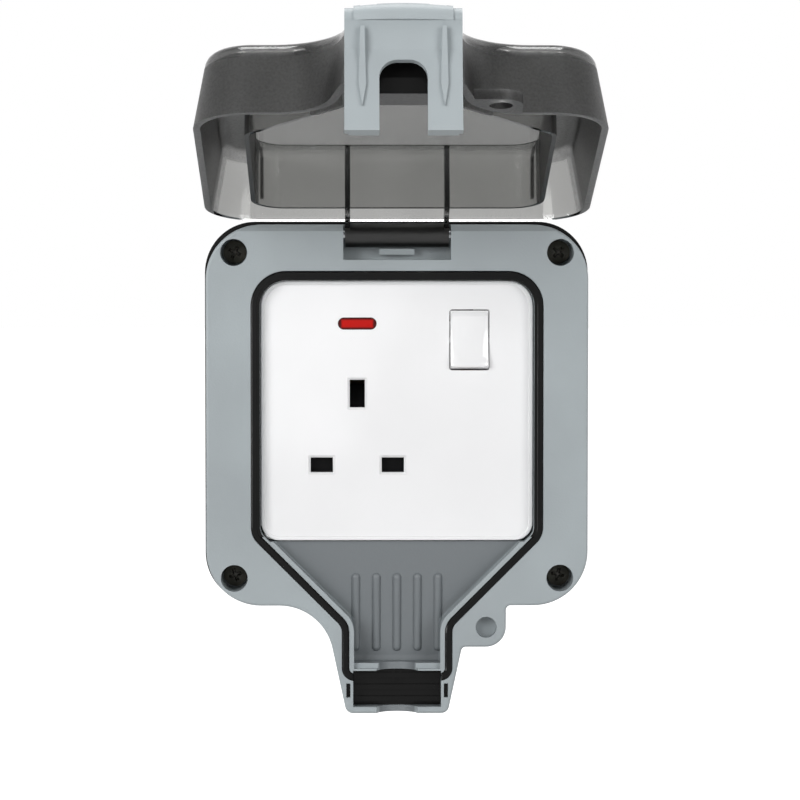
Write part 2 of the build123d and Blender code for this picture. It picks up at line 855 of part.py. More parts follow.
def plate_outline():
    """Outline of the socket front."""
    points = [
        (-plate_half_width, plate_top),
        (plate_half_width, plate_top),
        (plate_half_width, plate_bottom),
        (-plate_half_width, plate_bottom),
    ]
    radii = [plate_top_radius] * 2 + [plate_bottom_radius] * 2
    return make_face(FilletPolyline(*points, radius=radii, close=True))


def pin_slots():
    """Centre and size of the earth, neutral and live slots."""
    return [
        (socket_x, earth_z, earth_slot),
        (neutral_x, line_z, line_slot),
        (live_x, line_z, line_slot),
    ]


def housing_screw_places():
    """Corners of the rear housing where it is screwed to the socket front."""
    left = housing_left + housing_screw_edge
    right = housing_right - housing_screw_edge
    low = housing_bottom + housing_screw_edge
    high = housing_top - housing_screw_edge
    return [(left, low), (right, low), (left, high), (right, high)]


def make_faceplate():
    """Socket front with bevelled rim, pin slots, neon window, switch opening and rear flange."""
    plate = slab(plate_outline(), plate_back, plate_face)
    plate = chamfer(plate.faces().sort_by(Axis.Y)[0].edges(), plate_bevel)
    flange = rectangle(-flange_half_width, flange_half_width, flange_bottom, flange_top)
    for side in (-1, 1):
        lug_end = side * (module_screw_x + module_lug_radius)
        lug = rectangle(
            min(0, lug_end), max(0, lug_end),
            module_screw_z - module_lug_radius, module_screw_z + module_lug_radius,
        )
        flange += lug
    flange -= rectangle(
        housing_left - housing_gap, housing_right + housing_gap,
        flange_bottom, housing_top + housing_gap,
    )
    plate += slab(flange, flange_back, flange_front)
    for side in (-1, 1):
        hole = disc(side * module_screw_x, module_screw_z, module_screw_radius + screw_clearance)
        plate -= slab(hole, flange_back, flange_front)

    for x, z, (width, height) in pin_slots():
        place = Pos(x, z)
        plate -= slab(place * Rectangle(width, height), plate_back, plate_face)
        mouth = place * Rectangle(width + 2 * slot_bevel, height + 2 * slot_bevel)
        throat = place * Rectangle(width, height)
        plate -= loft([at_depth(plate_face) * mouth, at_depth(plate_face - slot_bevel) * throat])
    window = Pos(socket_x, neon_z) * SlotOverall(neon_width, neon_height)
    plate -= slab(window, plate_back, plate_face)
    opening = Pos(switch_x, switch_z) * RectangleRounded(switch_width, switch_height, switch_corner)
    plate -= slab(opening, plate_back, plate_face)
    bearing = switch_width / 2 - switch_gap + trunnion_length + trunnion_fit
    plate -= x_rod(
        trunnion_radius + trunnion_fit, switch_x - bearing, switch_x + bearing, rocker_pivot_depth, switch_z
    )
    for x, z in housing_screw_places():
        plate += slab(disc(x, z, housing_boss_radius), plate_back - housing_boss_length, plate_back)
        plate -= slab(disc(x, z, housing_screw_radius), plate_back - housing_boss_length, plate_back)
    return plate


def make_module_screws():
    """Two screws that hold the socket front to the frame, from behind."""
    screws = []
    for side in (-1, 1):
        x = side * module_screw_x
        head = slab(
            disc(x, module_screw_z, module_head_radius), flange_back - module_head_height, flange_back
        )
        tip = front_plane - module_pilot_cover - screw_clearance
        shank = slab(disc(x, module_screw_z, module_screw_radius), flange_back, tip)
        screws.append(head + shank)
    return Compound(children=screws)


def make_housing_screws():
    """Four screws that hold the rear housing to the socket front."""
    screws = []
    seat = housing_back + housing_head_height
    for x, z in housing_screw_places():
        head = slab(disc(x, z, housing_head_radius), housing_back, seat)
        shank = slab(disc(x, z, housing_screw_radius), seat, plate_back - screw_clearance)
        screws.append(head + shank)
    return Compound(children=screws)


def clip(x, z, size):
    """Spring clip that grips a pin: a C of sheet brass standing on its strip."""
    width, height = size
    place = Pos(x, z)
    outer = place * Rectangle(width + 2 * clip_wall, height + 2 * clip_wall)
    slit = Pos(x, z + height / 2) * Rectangle(clip_slit, 4 * clip_wall)
    wall = outer - place * Rectangle(width, height) - slit
    return slab(outer, inner_floor, strip_front) + slab(wall, inner_floor, clip_top)


def strip(left, right, bottom, top):
    """Flat brass strip on the floor of the housing."""
    return slab(rectangle(left, right, bottom, top), inner_floor, strip_front)


def terminal_places():
    """Name and centre of each terminal block."""
    return {
        "neutral": (neutral_x, neutral_terminal_z),
        "earth": (socket_x, earth_terminal_z),
        "live": (switch_x, live_terminal_z),
    }


def screw_hole(x, z):
    """Hole through a strip for a terminal screw."""
    return slab(disc(x, z, terminal_screw_radius + screw_clearance), inner_floor, strip_front)


def make_neutral_contact():
    """Neutral clip with a tongue under its terminal."""
    x, z = terminal_places()["neutral"]
    half = strip_width / 2
    tongue = strip(x - half, x + half, z - half, line_z)
    return clip(neutral_x, line_z, line_clip) + tongue - screw_hole(x, z)


def make_earth_contact():
    """Earth clip with a tongue under its terminal."""
    x, z = terminal_places()["earth"]
    half = strip_width / 2
    tongue = strip(x - half, x + half, earth_z, z + half)
    return clip(socket_x, earth_z, earth_clip) + tongue - screw_hole(x, z)


def make_live_contact():
    """Live clip with the strip that runs to the fixed contact of the switch."""
    half = strip_width / 2
    upright = strip(live_x - half, live_x + half, line_z, contact_z + half)
    run = strip(live_x - half, switch_x + half, contact_z - half, contact_z + half)
    return clip(live_x, line_z, line_clip) + upright + run


def make_switch_stand():
    """Strip from the live terminal to the stand that carries the switch lever."""
    x, z = terminal_places()["live"]
    half = strip_width / 2
    top = contact_z - half - 2 * contact_radius
    stand = strip(x - half, x + half, z - half, top) - screw_hole(x, z)
    cheek_x = lever_width / 2 + pocket_gap + stand_wall / 2
    cheek = rectangle(inner_floor, lever_depth + lever_pin_radius, switch_z - half, top)
    notch = disc(lever_depth, switch_z, lever_pin_radius + lever_fit)
    notch += rectangle(
        lever_depth, lever_depth + 2 * lever_pin_radius,
        switch_z - lever_pin_radius - lever_fit, switch_z + lever_pin_radius + lever_fit,
    )
    foot_half = cheek_x + stand_wall / 2
    stand += strip(x - foot_half, x + foot_half, switch_z - half, top)
    for side in (-1, 1):
        stand += side_bar(cheek - notch, stand_wall, x + side * cheek_x)
    return stand


def make_terminal(name):
    """Brass block with a wire hole from the side and a screw from behind."""
    x, z = terminal_places()[name]
    block = slab(Pos(x, z) * Rectangle(block_side, block_side), strip_front, strip_front + block_height)
    wire_depth = strip_front + terminal_screw_length
    block -= z_rod(wire_radius, z - block_side / 2, z + block_side / 2, x, wire_depth)
    return block - slab(disc(x, z, terminal_screw_radius + terminal_fit), strip_front, wire_depth)


def make_terminal_screws():
    """Three clamp screws."""
    screws = []
    for x, z in terminal_places().values():
        head = slab(disc(x, z, terminal_head_radius), housing_back, inner_floor)
        tip = strip_front + terminal_screw_length - wire_radius / 2
        shank = slab(disc(x, z, terminal_screw_radius), inner_floor, tip)
        screws.append(head + shank)
    return Compound(children=screws)


def make_rear_housing():
    """Moulded housing with a pocket for each contact, terminal, the shutter and the switch."""
    outline = rectangle(housing_left, housing_right, housing_bottom, housing_top)
    outline = fillet(outline.vertices(), housing_screw_edge / 2)
    housing = slab(outline, housing_back, plate_back)

    def pocket(left, right, bottom, top, back, front):
        grown = rectangle(left - pocket_gap, right + pocket_gap, bottom - pocket_gap, top + pocket_gap)
        return slab(grown, back, front)

    half = strip_width / 2
    for x, z, (width, height) in [
        (socket_x, earth_z, earth_clip), (neutral_x, line_z, line_clip), (live_x, line_z, line_clip)
    ]:
        reach_x = width / 2 + clip_wall
        reach_z = height / 2 + clip_wall
        housing -= pocket(x - reach_x, x + reach_x, z - reach_z, z + reach_z, inner_floor, plate_back)
    side = block_side / 2
    for x, z in terminal_places().values():
        top = strip_front + block_height + pocket_gap
        housing -= pocket(x - side, x + side, z - side, z + side, inner_floor, top)
        housing -= slab(disc(x, z, terminal_head_radius + pocket_gap), housing_back, inner_floor)
        edge = housing_top if z > 0 else housing_bottom
        wire_depth = strip_front + terminal_screw_length
        housing -= z_rod(wire_radius + pocket_gap, min(z, edge), max(z, edge), x, wire_depth)
    x, z = terminal_places()["neutral"]
    tongues = rectangle(x - half, x + half, z, line_z)
    x, z = terminal_places()["earth"]
    tongues += rectangle(x - half, x + half, earth_z, z)
    tongues += rectangle(live_x - half, live_x + half, line_z, contact_z + half)
    tongues += rectangle(live_x - half, switch_x + half, contact_z - half, contact_z + half)
    x, z = terminal_places()["live"]
    tongues += rectangle(x - half, x + half, z, switch_z)
    housing -= slab(offset(tongues, pocket_gap), inner_floor, strip_front + pocket_gap)

    shutter_low = shutter_bottom - shutter_travel - shutter_clearance
    housing -= slab(
        rectangle(
            shutter_left - shutter_clearance, shutter_right + shutter_clearance,
            shutter_low, shutter_ramp_end + 2 * shutter_clearance,
        ),
        shutter_back - shutter_clearance, plate_back,
    )
    spring_half = spring_radius + spring_wire + pocket_gap
    spring_pocket = rectangle(
        socket_x - spring_half, socket_x + spring_half, spring_end, shutter_low
    )
    housing -= slab(spring_pocket, spring_depth - spring_half, plate_back)

    switch_half = switch_width / 2 + trunnion_length / 2
    switch_low = switch_z - switch_height / 2 - switch_gap
    switch_high = switch_z + switch_height / 2 + switch_gap
    housing -= slab(
        rectangle(switch_x - switch_half, switch_x + switch_half, switch_low, switch_high),
        inner_floor + strip_thickness, plate_back,
    )
    foot_half = lever_width / 2 + pocket_gap + stand_wall
    housing -= pocket(
        switch_x - foot_half, switch_x + foot_half, switch_z - half, contact_z, inner_floor, plate_back
    )
    lamp_half = neon_width / 2 + neon_flange
    housing -= pocket(
        socket_x - lamp_half, socket_x + lamp_half,
        neon_z - neon_height / 2 - neon_flange, neon_z + neon_height / 2 + neon_flange,
        lamp_depth - lamp_radius - pocket_gap, plate_back,
    )
    housing -= pocket(
        socket_x - resistor_length / 2, socket_x + resistor_length / 2,
        resistor_z - resistor_radius, resistor_z + resistor_radius,
        lamp_depth - resistor_radius - pocket_gap, plate_back,
    )
    seat = housing_back + housing_head_height
    for x, z in housing_screw_places():
        housing -= slab(disc(x, z, housing_head_radius + pocket_gap), housing_back, seat)
        housing -= slab(disc(x, z, housing_screw_radius + pocket_gap), seat, plate_back)
        boss_back = plate_back - housing_boss_length - pocket_gap
        housing -= slab(disc(x, z, housing_boss_radius + pocket_gap), boss_back, plate_back)
    return housing


def make_neon_lens():
    """Red lens that fills the neon window, held by a flange behind the socket front."""
    place = Pos(socket_x, neon_z)
    body = place * SlotOverall(neon_width - 2 * neon_fit, neon_height - 2 * neon_fit)
    flange = place * SlotOverall(neon_width + 2 * neon_flange, neon_height + 2 * neon_flange)
    lens = slab(body, plate_back - neon_flange, plate_face + neon_proud)
    return lens + slab(flange, plate_back - neon_flange, plate_back)


def make_neon_lamp():
    """Glow lamp behind the lens, with a rounded tip."""
    half = lamp_length / 2
    lamp = x_rod(lamp_radius, socket_x - half, socket_x + half - lamp_radius, lamp_depth, neon_z)
    return lamp + Pos(socket_x + half - lamp_radius, -lamp_depth, neon_z) * Sphere(lamp_radius)


def make_resistor():
    """Series resistor of the lamp."""
    half = resistor_length / 2
    return x_rod(resistor_radius, socket_x - half, socket_x + half, lamp_depth, resistor_z)


def switched(shape):
    """Turn a piece drawn with the rocker level to the off position, top pressed in."""
    return turned(shape, rocker_pivot_depth, switch_z, switch_throw / 2)


def make_rocker():
    """Rocker with ends that follow its swing, a dished face, trunnions and a hollow stem."""
    profile = disc(rocker_pivot_depth, switch_z, rocker_radius)
    profile &= rectangle(rocker_back, rocker_front, switch_z - switch_height, switch_z + switch_height)
    dish_centre = rocker_front + rocker_dish_radius - rocker_dish
    profile -= disc(dish_centre, switch_z, rocker_dish_radius)
    body_width = switch_width - 2 * switch_gap
    rocker = side_bar(profile, body_width, switch_x)
    reach = body_width / 2 + trunnion_length - switch_gap / 2
    rocker += x_rod(trunnion_radius, switch_x - reach, switch_x + reach, rocker_pivot_depth, switch_z)
    stem = rectangle(
        switch_x - stem_half, switch_x + stem_half, switch_z - stem_half, switch_z + stem_half
    )
    rocker += slab(stem, stem_end, rocker_pivot_depth)
    bore = disc(switch_x, switch_z, plunger_radius + plunger_fit)
    return switched(rocker - slab(bore, stem_end, plunger_bore_end))


def make_plunger():
    """Spring plunger that runs on the lever, with a rounded nose."""
    nose = plunger_tip + plunger_radius
    rod = slab(disc(switch_x, switch_z, plunger_radius), nose, plunger_back)
    return switched(rod + Pos(switch_x, -nose, switch_z) * Sphere(plunger_radius))


def coil(radius, wire, length, turns):
    """Coil spring along Z from its lower end at the origin."""
    path = Helix(pitch=length / turns, height=length, radius=radius)
    section = Plane(origin=path @ 0, z_dir=path % 0) * RegularPolygon(wire, wire_sides)
    return sweep(section, path=path)


def make_plunger_spring():
    """Spring behind the plunger, inside the stem."""
    length = plunger_bore_end - plunger_back - 3 * spring_wire
    spring = coil(plunger_radius - spring_wire, spring_wire, length, plunger_spring_turns)
    start = plunger_back + 1.5 * spring_wire
    return switched(Pos(switch_x, -start, switch_z) * Rot(X=90) * spring)


def make_lever():
    """Moving contact that rocks on the stand; its upper end meets the fixed contact."""
    half = lever_thickness / 2
    blade = rectangle(lever_depth - half, lever_depth + half, switch_z - lever_down, switch_z + lever_up)
    lever = side_bar(blade, lever_width, switch_x)
    reach = lever_width / 2 + pocket_gap + stand_wall
    lever += x_rod(lever_pin_radius, switch_x - reach, switch_x + reach, lever_depth, switch_z)
    pad = disc(switch_x, contact_z, contact_radius)
    lever += slab(pad, lever_depth - half - contact_height, lever_depth)
    return turned(lever, lever_depth, switch_z, -lever_throw / 2)


def make_fixed_contact():
    """Contact rivet on the live strip; the lever stops just short of it when on."""
    swing = (contact_z - switch_z + contact_radius) * math.sin(math.radians(lever_throw / 2))
    closed = lever_depth - lever_thickness / 2 - contact_height - swing
    return slab(disc(switch_x, contact_z, contact_radius), strip_front, closed - contact_gap)


def make_shutter():
    """Sliding shutter over the live and neutral slots, pushed down by the earth pin on its ramp."""
    bar = slab(
        rectangle(shutter_left, shutter_right, shutter_bottom, shutter_top), shutter_back, shutter_front
    )
    arm = polygon(
        (shutter_back, shutter_top),
        (shutter_front, shutter_top),
        (shutter_front, shutter_ramp_start),
        (shutter_back + shutter_clearance, shutter_ramp_end),
        (shutter_back, shutter_ramp_end),
    )
    return bar + side_bar(arm, 2 * shutter_arm_half, socket_x)


def make_shutter_spring():
    """Spring that lifts the shutter."""
    length = shutter_bottom - spring_end - 2 * spring_wire - pocket_gap
    spring = coil(spring_radius, spring_wire, length, spring_turns)
    return Pos(socket_x, -spring_depth, spring_end + spring_wire) * spring


parts["back_box"] = make_back_box()
parts["box_seal"] = make_box_seal()
parts["front_frame"] = make_front_frame()
parts["frame_screws"] = make_frame_screws()
parts["lid_gasket"] = make_lid_gasket()
parts["cable_grommet"] = make_cable_grommet()
parts["hinge_pin"] = x_rod(hinge_pin_radius, -hinge_pin_half, hinge_pin_half, hinge_depth, hinge_z)
parts["lid"] = on_lid(make_lid())
parts["lid_grommet"] = on_lid(make_lid_grommet())
parts["latch_pin"] = on_lid(
    x_rod(latch_pin_radius, -latch_half_width, latch_half_width, latch_pin_depth, latch_pin_z)
)
parts["latch"] = on_lid(make_latch())
parts["faceplate"] = make_faceplate()
parts["module_screws"] = make_module_screws()
parts["rear_housing"] = make_rear_housing()
parts["housing_screws"] = make_housing_screws()
parts["neutral_contact"] = make_neutral_contact()
parts["earth_contact"] = make_earth_contact()
parts["live_contact"] = make_live_contact()
parts["switch_stand"] = make_switch_stand()
for wire_name in terminal_places():
    parts[wire_name + "_terminal"] = make_terminal(wire_name)
parts["terminal_screws"] = make_terminal_screws()
parts["neon_lens"] = make_neon_lens()
parts["neon_lamp"] = make_neon_lamp()
parts["neon_resistor"] = make_resistor()
parts["switch_rocker"] = make_rocker()
parts["rocker_plunger"] = make_plunger()
parts["plunger_spring"] = make_plunger_spring()
parts["switch_lever"] = make_lever()
parts["fixed_contact"] = make_fixed_contact()
parts["shutter"] = make_shutter()
parts["shutter_spring"] = make_shutter_spring()

os.makedirs("parts", exist_ok=True)
for node, shape in parts.items():
    export_step(shape, f"parts/{node}.step")
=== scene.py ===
# %% [markdown]
# # Outdoor weatherproof socket
#
# The construction is already settled: every moulding, pin and contact comes in as a fixed part, in
# metres, with X to the right, Y into the wall and Z up. This lesson gives those parts their looks:
# a camera and lights first, then one finish after another, then the few small pieces that are easier
# to model as meshes, such as the cross recess in the screw heads.

# %% Load the fixed parts
import json
import math

import bmesh
import bpy
from mathutils import Color, Matrix, Vector


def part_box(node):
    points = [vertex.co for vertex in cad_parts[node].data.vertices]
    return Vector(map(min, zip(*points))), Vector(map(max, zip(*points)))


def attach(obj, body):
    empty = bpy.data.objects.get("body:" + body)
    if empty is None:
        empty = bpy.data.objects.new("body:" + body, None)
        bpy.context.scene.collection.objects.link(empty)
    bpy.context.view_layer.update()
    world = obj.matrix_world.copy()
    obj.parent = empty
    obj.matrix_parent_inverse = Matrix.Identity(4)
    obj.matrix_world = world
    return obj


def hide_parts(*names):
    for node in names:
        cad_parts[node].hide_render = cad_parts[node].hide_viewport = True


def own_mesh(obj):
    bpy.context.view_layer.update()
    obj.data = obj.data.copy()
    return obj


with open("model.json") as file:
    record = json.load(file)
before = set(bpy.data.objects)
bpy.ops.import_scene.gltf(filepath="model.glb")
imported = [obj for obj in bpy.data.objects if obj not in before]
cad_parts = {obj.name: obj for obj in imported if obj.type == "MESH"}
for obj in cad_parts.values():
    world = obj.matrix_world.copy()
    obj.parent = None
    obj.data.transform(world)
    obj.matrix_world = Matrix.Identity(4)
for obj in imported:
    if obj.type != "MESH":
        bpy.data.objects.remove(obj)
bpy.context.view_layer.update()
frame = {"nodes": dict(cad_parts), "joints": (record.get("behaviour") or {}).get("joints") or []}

nodes = frame["nodes"]
scene = bpy.context.scene
scene.view_settings.view_transform = "Standard"

# %% [markdown]
# ## Camera
#
# The product shot is square-on and taken from far away, so parallel edges stay parallel. The lens sits
# level with the hinge and a little left of the middle, which is why the latch, nearest to it, stands to
# the right of the centre line. A view camera would move the picture with a lens shift from there. At this
# distance a turn of three degrees does the same to within a pixel, and it keeps the object in the middle
# when the camera is moved round it, so the camera is turned.

# %% Camera
CAMERA_PLACE = Vector((-0.0142, -1.206, 0.063))
CAMERA_LENS = 167.33
SENSOR_WIDTH = 36.0
NEAREST_SEEN = 0.05
QUARTER_TURN = math.radians(90)
CAMERA_DOWN = math.radians(2.877)
CAMERA_RIGHT = math.radians(0.748)

camera_data = bpy.data.cameras.new("studio_camera")
camera_data.lens = CAMERA_LENS
camera_data.sensor_width = SENSOR_WIDTH
camera_data.clip_start = NEAREST_SEEN
camera = bpy.data.objects.new("studio_camera", camera_data)
camera.location = CAMERA_PLACE
camera.rotation_euler = (QUARTER_TURN - CAMERA_DOWN, 0, -CAMERA_RIGHT)
scene.collection.objects.link(camera)
scene.camera = camera
print("camera", tuple(round(v, 3) for v in camera.location))

# %% [markdown]
# ## Lamps
#
# White plastic needs light that is broad and not too strong, or it burns out. Two soft lamps stand
# left and right of the camera and only a little above it, so the open lid throws no hard shadow on the
# socket front. A weak soft box overhead shades what faces down, and a bright strip above and behind draws
# the white line along the lid's edge. One more strip, far to the left, lights the edges on that side. A
# weak panel far behind the camera stands askew where the glossy socket front mirrors it, so a pale band
# with a slanting edge lies on the white.

# %% Lamps
# Each lamp has a place, a width and height, and a power in watts.
LAMPS = {
    "key": ((-0.7, -1.1, 0.36), (0.6, 0.6), 10.2),
    "fill": ((0.75, -1.1, 0.33), (0.6, 0.6), 6.4),
    "soft_box": ((0.0, -1.0, 1.25), (1.7, 0.5), 1.5),
    "strip": ((0.0, 0.2, 1.25), (0.8, 0.6), 11.0),
    "edge": ((-1.4, -0.12, 0.0), (0.12, 0.5), 4.0),
    "panel": ((-0.111, -2.4, 0.012), (0.3, 0.35), 0.42),
}
AIM = Vector((0, -0.05, 0.0))
PANEL_SLANT = math.radians(21.4)


def add_lamp(name, place, size, power):
    """One soft lamp, width by height, aimed at the middle of the object."""
    data = bpy.data.lights.new(name, "AREA")
    data.shape = "RECTANGLE"
    data.size, data.size_y = size
    data.energy = power
    lamp = bpy.data.objects.new(name, data)
    lamp.location = place
    lamp.rotation_euler = (AIM - Vector(place)).to_track_quat("-Z", "Y").to_euler()
    scene.collection.objects.link(lamp)
    return lamp


lamps = {name: add_lamp(name, *values) for name, values in LAMPS.items()}
lamps["panel"].rotation_euler = (QUARTER_TURN, PANEL_SLANT, 0)
print("lamps", list(lamps))

# %% [markdown]
# ## World
#
# One grey all round would light what faces down as much as what faces up, and that looks flat. The world
# here is a grey that is lighter above than below. Rays that look straight at the world, mirror rays and
# rays that pass through the lid see plain white instead, because gloss and clear plastic show what is
# around and behind them. A Light Path node tells these rays apart.

# %% World
WORLD_BELOW = 0.06
WORLD_ABOVE = 0.26
WHITE = (1, 1, 1, 1)


def math_node(tree, operation, *values):
    """The result of a Math node; each value is a number or the output of another node."""
    node = tree.nodes.new("ShaderNodeMath")
    node.operation = operation
    for socket, value in zip(node.inputs, values):
        if isinstance(value, (int, float)):
            socket.default_value = value
        else:
            tree.links.new(value, socket)
    return node.outputs[0]


def any_of(tree, mask, *others):
    """A mask that is 1 where at least one of the masks is 1."""
    for other in others:
        mask = math_node(tree, "MAXIMUM", mask, other)
    return mask


def axes_of(tree, vector):
    """The X, Y and Z of a vector."""
    axes = tree.nodes.new("ShaderNodeSeparateXYZ")
    tree.links.new(vector, axes.inputs["Vector"])
    return axes.outputs


def seen_directly(tree):
    """A value that is 1 for camera, mirror and see-through rays, and 0 for light on the object."""
    path = tree.nodes.new("ShaderNodeLightPath")
    rays = ("Is Camera Ray", "Is Glossy Ray", "Is Transmission Ray")
    return any_of(tree, *(path.outputs[ray] for ray in rays))


world = bpy.data.worlds.new("studio_world")
scene.world = world
world.use_nodes = True
world_tree = world.node_tree
grey_light = world_tree.nodes["Background"]
white_view = world_tree.nodes.new("ShaderNodeBackground")
for background in (grey_light, white_view):
    background.inputs["Color"].default_value = WHITE
ray_direction = world_tree.nodes.new("ShaderNodeTexCoord").outputs["Generated"]
upward = axes_of(world_tree, ray_direction)["Z"]
world_grey = math_node(world_tree, "MULTIPLY_ADD", upward,
                       (WORLD_ABOVE - WORLD_BELOW) / 2, (WORLD_ABOVE + WORLD_BELOW) / 2)
world_tree.links.new(world_grey, grey_light.inputs["Strength"])
world_mix = world_tree.nodes.new("ShaderNodeMixShader")
world_parts = (seen_directly(world_tree), grey_light.outputs[0], white_view.outputs[0])
for world_part, socket in zip(world_parts, world_mix.inputs):
    world_tree.links.new(world_part, socket)
world_tree.links.new(world_mix.outputs[0], world_tree.nodes["World Output"].inputs["Surface"])
print("world from", WORLD_BELOW, "below to", WORLD_ABOVE, "above")

# %% [markdown]
# ## Floor
#
# The socket hangs on a wall, so nothing stands on the floor; it is only a pale sheet below that takes
# a faint shadow. It shines a little by itself towards the camera, which makes it white where no shadow
# falls.

# %% Floor
FLOOR_HEIGHT = -0.16
FLOOR_REACH = 6.0
FLOOR_GREY = (0.4, 0.4, 0.4, 1)
FLOOR_ROUGHNESS = 0.9
FLOOR_GLOW = 0.95


def new_object(name, mesh):
    """Make a finished bmesh an object of the scene."""
    data = bpy.data.meshes.new(name)
    mesh.to_mesh(data)
    mesh.free()
    made = bpy.data.objects.new(name, data)
    scene.collection.objects.link(made)
    return made


floor_mesh = bmesh.new()
bmesh.ops.create_grid(floor_mesh, x_segments=1, y_segments=1, size=FLOOR_REACH)
bmesh.ops.translate(floor_mesh, verts=floor_mesh.verts, vec=(0, 0, FLOOR_HEIGHT))
floor = new_object("floor", floor_mesh)
floor_paint = bpy.data.materials.new("floor_paint")
floor_paint.use_nodes = True
floor_tree = floor_paint.node_tree
floor_shader = floor_tree.nodes["Principled BSDF"]
floor_shader.inputs["Base Color"].default_value = FLOOR_GREY
floor_shader.inputs["Roughness"].default_value = FLOOR_ROUGHNESS
floor_shader.inputs["Emission Color"].default_value = WHITE
floor_glow = math_node(floor_tree, "MULTIPLY", seen_directly(floor_tree), FLOOR_GLOW)
floor_tree.links.new(floor_glow, floor_shader.inputs["Emission Strength"])
floor.data.materials.append(floor_paint)
print("floor at", FLOOR_HEIGHT)

# %% [markdown]
# ## Effects that several finishes share
#
# Two small node groups are built once. *Moulded grain* is the fine sparkle that the mould leaves on
# plastic and rubber: it puts out a height for a bump and a mask. *Uneven tone* is a slow drift of
# light and dark over a surface, because no real moulding is one flat colour. Both could be set up anew in
# every material, but then each change would be made a dozen times. Both are a noise on Object coordinates,
# in metres, so their scale is the same on every part.

# %% Node groups
GRAIN_SCALE = 1500.0
TONE_SCALE = 30.0
NOISE_SPAN = (0.3, 0.7)


def object_place(tree):
    """Object coordinates: the place of a point in metres."""
    return tree.nodes.new("ShaderNodeTexCoord").outputs["Object"]


def mapped(tree, value, low, high, new_low, new_high):
    """A value mapped from one span to another, and held at the ends."""
    span = tree.nodes.new("ShaderNodeMapRange")
    labels = ("From Min", "From Max", "To Min", "To Max")
    for label, number in zip(labels, (low, high, new_low, new_high)):
        span.inputs[label].default_value = number
    tree.links.new(value, span.inputs["Value"])
    return span.outputs["Result"]


def noise_group(name, labels, scale, detail, roughness):
    """A node group with one noise; the labels name its mask from 0 to 1 and, if wanted, its height."""
    group = bpy.data.node_groups.new(name, "ShaderNodeTree")
    scale_socket = group.interface.new_socket("Scale", in_out="INPUT", socket_type="NodeSocketFloat")
    scale_socket.default_value = scale
    for label in labels:
        group.interface.new_socket(label, in_out="OUTPUT", socket_type="NodeSocketFloat")
    start = group.nodes.new("NodeGroupInput")
    end = group.nodes.new("NodeGroupOutput")
    noise = group.nodes.new("ShaderNodeTexNoise")
    noise.inputs["Detail"].default_value = detail
    noise.inputs["Roughness"].default_value = roughness
    group.links.new(object_place(group), noise.inputs["Vector"])
    group.links.new(start.outputs["Scale"], noise.inputs["Scale"])
    height = noise.outputs["Fac"]
    mask = mapped(group, height, *NOISE_SPAN, 0, 1)
    for label, value in zip(labels, (mask, height)):
        group.links.new(value, end.inputs[label])
    return group


grain_group = noise_group("moulded_grain", ["Mask", "Height"], scale=GRAIN_SCALE, detail=3.0, roughness=0.6)
tone_group = noise_group("uneven_tone", ["Tone"], scale=TONE_SCALE, detail=2.0, roughness=0.5)
print("groups", grain_group.name, tone_group.name)

# %% [markdown]
# ## A finish in general
#
# Each finish is one Principled shader. The colour runs between a darker and a lighter tone, the
# roughness between two values, and the grain gives a shallow bump. Whatever is the same all over, such
# as the gloss coat, is set on the shader's own socket. A function makes all the finishes, because they
# differ only in these values. Colours are written as they look on a screen, and a shader works with linear
# light, so they are converted first.

# %% Finish helpers
BUMP_STRENGTH = 0.4


def linear(hex_colour):
    """A colour written as it looks on a screen, in the linear values that shaders use."""
    channels = [channel / 255 for channel in bytes.fromhex(hex_colour)]
    return (*Color(channels).from_srgb_to_scene_linear(), 1.0)


def placed(tree, group, scale):
    """A node group placed in a material at its own scale."""
    node = tree.nodes.new("ShaderNodeGroup")
    node.node_tree = group
    node.inputs["Scale"].default_value = scale
    return node


def turning_to(tree, mask, hex_colour):
    """A Mix node that gives a colour where a mask is 1, and its input A where the mask is 0."""
    colour = tree.nodes.new("ShaderNodeMix")
    colour.data_type = "RGBA"
    colour.inputs["B"].default_value = linear(hex_colour)
    tree.links.new(mask, colour.inputs["Factor"])
    return colour


def finish(name, dark, light, rough, grain, **sockets):
    """A finish between two tones; grain is its scale and depth, other sockets are set by their labels."""
    material = bpy.data.materials.new(name)
    material.use_nodes = True
    tree = material.node_tree
    shader = tree.nodes["Principled BSDF"]
    tone = placed(tree, tone_group, TONE_SCALE)
    colour = turning_to(tree, tone.outputs["Tone"], light)
    colour.inputs["A"].default_value = linear(dark)
    tree.links.new(colour.outputs["Result"], shader.inputs["Base Color"])
    grain_scale, grain_depth = grain
    texture = placed(tree, grain_group, grain_scale)
    tree.links.new(mapped(tree, texture.outputs["Mask"], 0, 1, *rough), shader.inputs["Roughness"])
    bump = tree.nodes.new("ShaderNodeBump")
    bump.inputs["Strength"].default_value = BUMP_STRENGTH
    bump.inputs["Distance"].default_value = grain_depth
    tree.links.new(texture.outputs["Height"], bump.inputs["Height"])
    tree.links.new(bump.outputs["Normal"], shader.inputs["Normal"])
    for label, value in sockets.items():
        shader.inputs[label].default_value = value
    return material


def tinted(material, mask, hex_colour):
    """Turn a finish to another colour where a mask is 1."""
    tree = material.node_tree
    base = tree.nodes["Principled BSDF"].inputs["Base Color"]
    colour = turning_to(tree, mask, hex_colour)
    tree.links.new(base.links[0].from_socket, colour.inputs["A"])
    tree.links.new(colour.outputs["Result"], base)


def wear(material, *names):
    """Give one finish to the named parts."""
    for name in names:
        slots = nodes[name].data.materials
        slots.clear()
        slots.append(material)
    print(material.name, "on", *names)


print("half of full brightness on a screen is", round(linear("808080")[0], 3), "in a shader")

